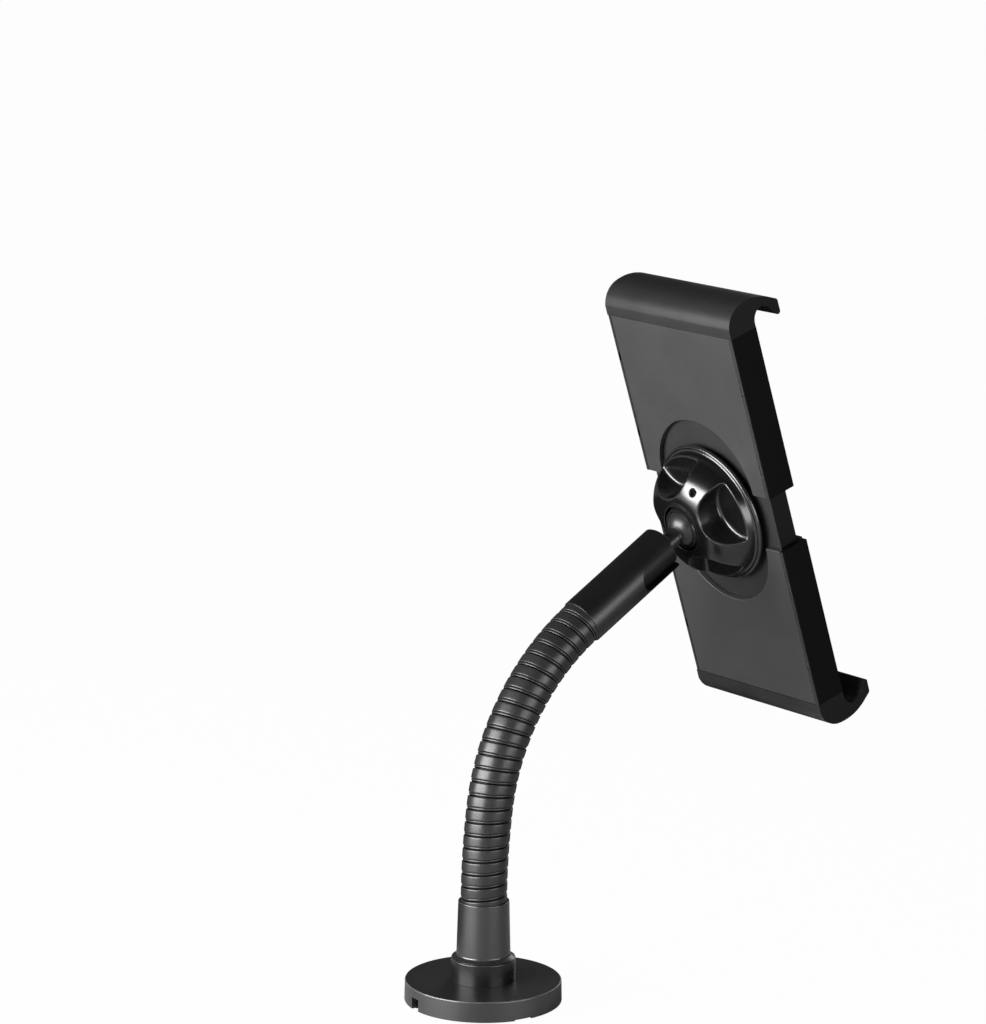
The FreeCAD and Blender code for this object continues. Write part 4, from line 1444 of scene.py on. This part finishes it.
@dataclass
class Studio:
    """Floor, lamps and camera."""

    camera_place: Point = (-1.3788, 1.0538, 0.5638)
    camera_direction: Point = (0.7775, -0.5959, -0.2010)
    camera_roll: float = math.radians(0.515)
    focal_pixels: float = 4340.65
    long_side_pixels: float = 1024.0
    sensor: float = 36.0
    clip: tuple[float, float] = (0.05, 200.0)
    floor_size: float = 60.0
    floor_drop: float = 0.2 * MM
    floor_tone: float = 0.55
    floor_glow: float = 0.98
    mirrored_glow: float = 0.02
    card_tone: float = 0.02
    world_colour: Colour = (0.80, 0.82, 0.86)
    world_strength: float = 0.05
    lit_point: Point = (0.0, -0.08, 0.15)

    def add_camera(self) -> None:
        """Camera at the photograph's place."""
        data = bpy.data.cameras.new("camera")
        data.sensor_width = self.sensor
        data.lens = self.focal_pixels / self.long_side_pixels * self.sensor
        data.clip_start, data.clip_end = self.clip
        camera = bpy.data.objects.new("camera", data)
        bpy.context.scene.collection.objects.link(camera)
        forward = Vector(self.camera_direction).normalized()
        level_right = forward.cross(UP).normalized()
        level_up = level_right.cross(forward)
        cosine, sine = math.cos(self.camera_roll), math.sin(self.camera_roll)
        right = level_right * cosine + level_up * sine
        above = level_up * cosine - level_right * sine
        turn = Matrix((right, above, -forward)).transposed()
        camera.matrix_world = Matrix.Translation(self.camera_place) @ turn.to_4x4()
        bpy.context.scene.camera = camera

    def add_lamp(
        self, name: str, bearing: float, away: float, low: float, size: tuple[float, float],
        strength: float,
    ) -> None:
        """Soft rectangular lamp that faces the stand.

        Args:
            name: The lamp's name.
            bearing: Its direction from the stand, in degrees from +X towards +Y.
            away: Its distance from the stand.
            low: Height of its lower edge.
            size: Its width and height.
            strength: Watts for each square metre of it.
        """
        turn = math.radians(bearing)
        aim = Vector(self.lit_point)
        place = Vector((
            aim.x + away * math.cos(turn), aim.y + away * math.sin(turn), low + size[1] / 2.0
        ))
        data = bpy.data.lights.new(name, "AREA")
        data.shape = "RECTANGLE"
        data.size, data.size_y = size
        data.energy = strength * size[0] * size[1]
        lamp = bpy.data.objects.new(name, data)
        lamp.visible_camera = False
        bpy.context.scene.collection.objects.link(lamp)
        facing = (aim - place).to_track_quat("-Z", "Y").to_matrix().to_4x4()
        lamp.matrix_world = Matrix.Translation(place) @ facing

    def add_floor(self) -> None:
        """Plain pale floor that shows white and keeps a soft shadow."""
        drop_selection()
        bpy.ops.mesh.primitive_plane_add(size=self.floor_size, location=UP * -self.floor_drop)
        floor = bpy.context.object
        floor.name = "floor"
        maker = NodeMaker(bpy.data.materials.new("floor_pale"))
        lit = maker.node("ShaderNodeBsdfDiffuse", {"Color": (*grey(self.floor_tone), 1.0)})
        glow = maker.node("ShaderNodeEmission", {"Color": (*grey(1.0), 1.0), "Strength": 1.0})
        seen, through, mirrored = (
            maker.node("ShaderNodeLightPath", output="Is %s Ray" % ray)
            for ray in ("Camera", "Transmission", "Glossy")
        )
        share = (seen + through) * self.floor_glow + mirrored * self.mirrored_glow
        mixed = maker.node("ShaderNodeMixShader", {0: share, 1: lit, 2: glow})
        maker.node("ShaderNodeOutputMaterial", {"Surface": mixed})
        floor.data.materials.append(maker.owner)
        floor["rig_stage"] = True

    def add_flag(self, name: str, low: tuple[float, float], high: tuple[float, float]) -> None:
        """Black card that lies on the floor out of the picture, where gloss is to stay dark.

        Args:
            name: The card's name.
            low: Its lowest corner.
            high: Its highest corner.
        """
        card = add_block(name, (*low, 0.0), (*high, self.floor_drop))
        maker = NodeMaker(bpy.data.materials.new(name))
        black = maker.node("ShaderNodeBsdfDiffuse", {"Color": (*grey(self.card_tone), 1.0)})
        maker.node("ShaderNodeOutputMaterial", {"Surface": black})
        card.data.materials.append(maker.owner)
        card.visible_camera = False
        card.visible_shadow = False
        card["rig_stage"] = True

    def add_world(self) -> None:
        """World that is white to the camera and lights the object softly."""
        maker = NodeMaker(bpy.data.worlds.new("studio"))
        seen = maker.node("ShaderNodeLightPath", output="Is Camera Ray")
        soft, white = (
            maker.node("ShaderNodeBackground", {"Color": (*colour, 1.0), "Strength": strength})
            for colour, strength in ((self.world_colour, self.world_strength), (grey(1.0), 1.0))
        )
        mixed = maker.node("ShaderNodeMixShader", {0: seen, 1: soft, 2: white})
        maker.node("ShaderNodeOutputWorld", {"Surface": mixed})
        bpy.context.scene.world = maker.owner

    def build(self) -> None:
        """Sets up the whole studio."""
        bpy.context.scene.view_settings.view_transform = "Standard"
        self.add_camera()
        self.add_floor()
        self.add_world()
        self.add_lamp(
            "key_softbox", bearing=80.0, away=0.85, low=0.01, size=(0.85, 0.50), strength=46.0
        )
        self.add_lamp(
            "side_strip", bearing=186.0, away=0.85, low=0.01, size=(0.70, 0.36), strength=15.0
        )
        self.add_lamp(
            "front_fill", bearing=300.0, away=1.6, low=0.40, size=(0.8, 0.8), strength=6.0
        )
        self.add_flag("black_flag", low=(0.08, -0.50), high=(1.00, 0.34))


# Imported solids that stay

PLAIN_NODES: dict[Surface, tuple[str, ...]] = {
    Surface.BASE: ("base_plate",),
    Surface.PLUG_IN_PAINTED_SHADE: ("neck_head",),
    Surface.BALL: ("ball_stud",),
    Surface.CORE: ("core_front_plate",),
    Surface.RUBBER: ("base_pad",),
    Surface.STEEL: (
        "foot_nut", "foot_washer", "neck_foot", "pinion_pin", "core_screws", "collet_screws",
        "lower_jaw_screws", "upper_jaw_screws",
    ),
    Surface.BLACK_STEEL: ("collar_set_screw", "knob_lock_screw"),
    Surface.NYLON: ("ball_seat", "lower_jaw_rack", "upper_jaw_rack"),
    Surface.BRASS: ("sync_pinion",),
}


def corners() -> list[list[float]]:
    """Lowest and highest corner of what shows, as plain numbers."""
    return [list(corner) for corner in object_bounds()]


def main() -> None:
    """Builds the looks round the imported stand."""
    logging.basicConfig(level=logging.INFO, format="%(name)s: %(message)s")
    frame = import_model()
    wardrobe = Wardrobe()
    for surface, names in PLAIN_NODES.items():
        for name in names:
            wardrobe.dress(frame["nodes"][name], surface)
    stand = Packed(frame)
    for assembly in (
        Base(stand, wardrobe),
        Collar(stand, wardrobe),
        WoundNeck(stand, wardrobe, NeckLine()),
        ClampKnob(stand, wardrobe),
        Mouldings(stand, wardrobe),
    ):
        for piece in assembly.build():
            LOG.info("%s, %d faces", piece.name, len(piece.data.polygons))
    Studio().build()


if __name__ == "__main__":
    main()
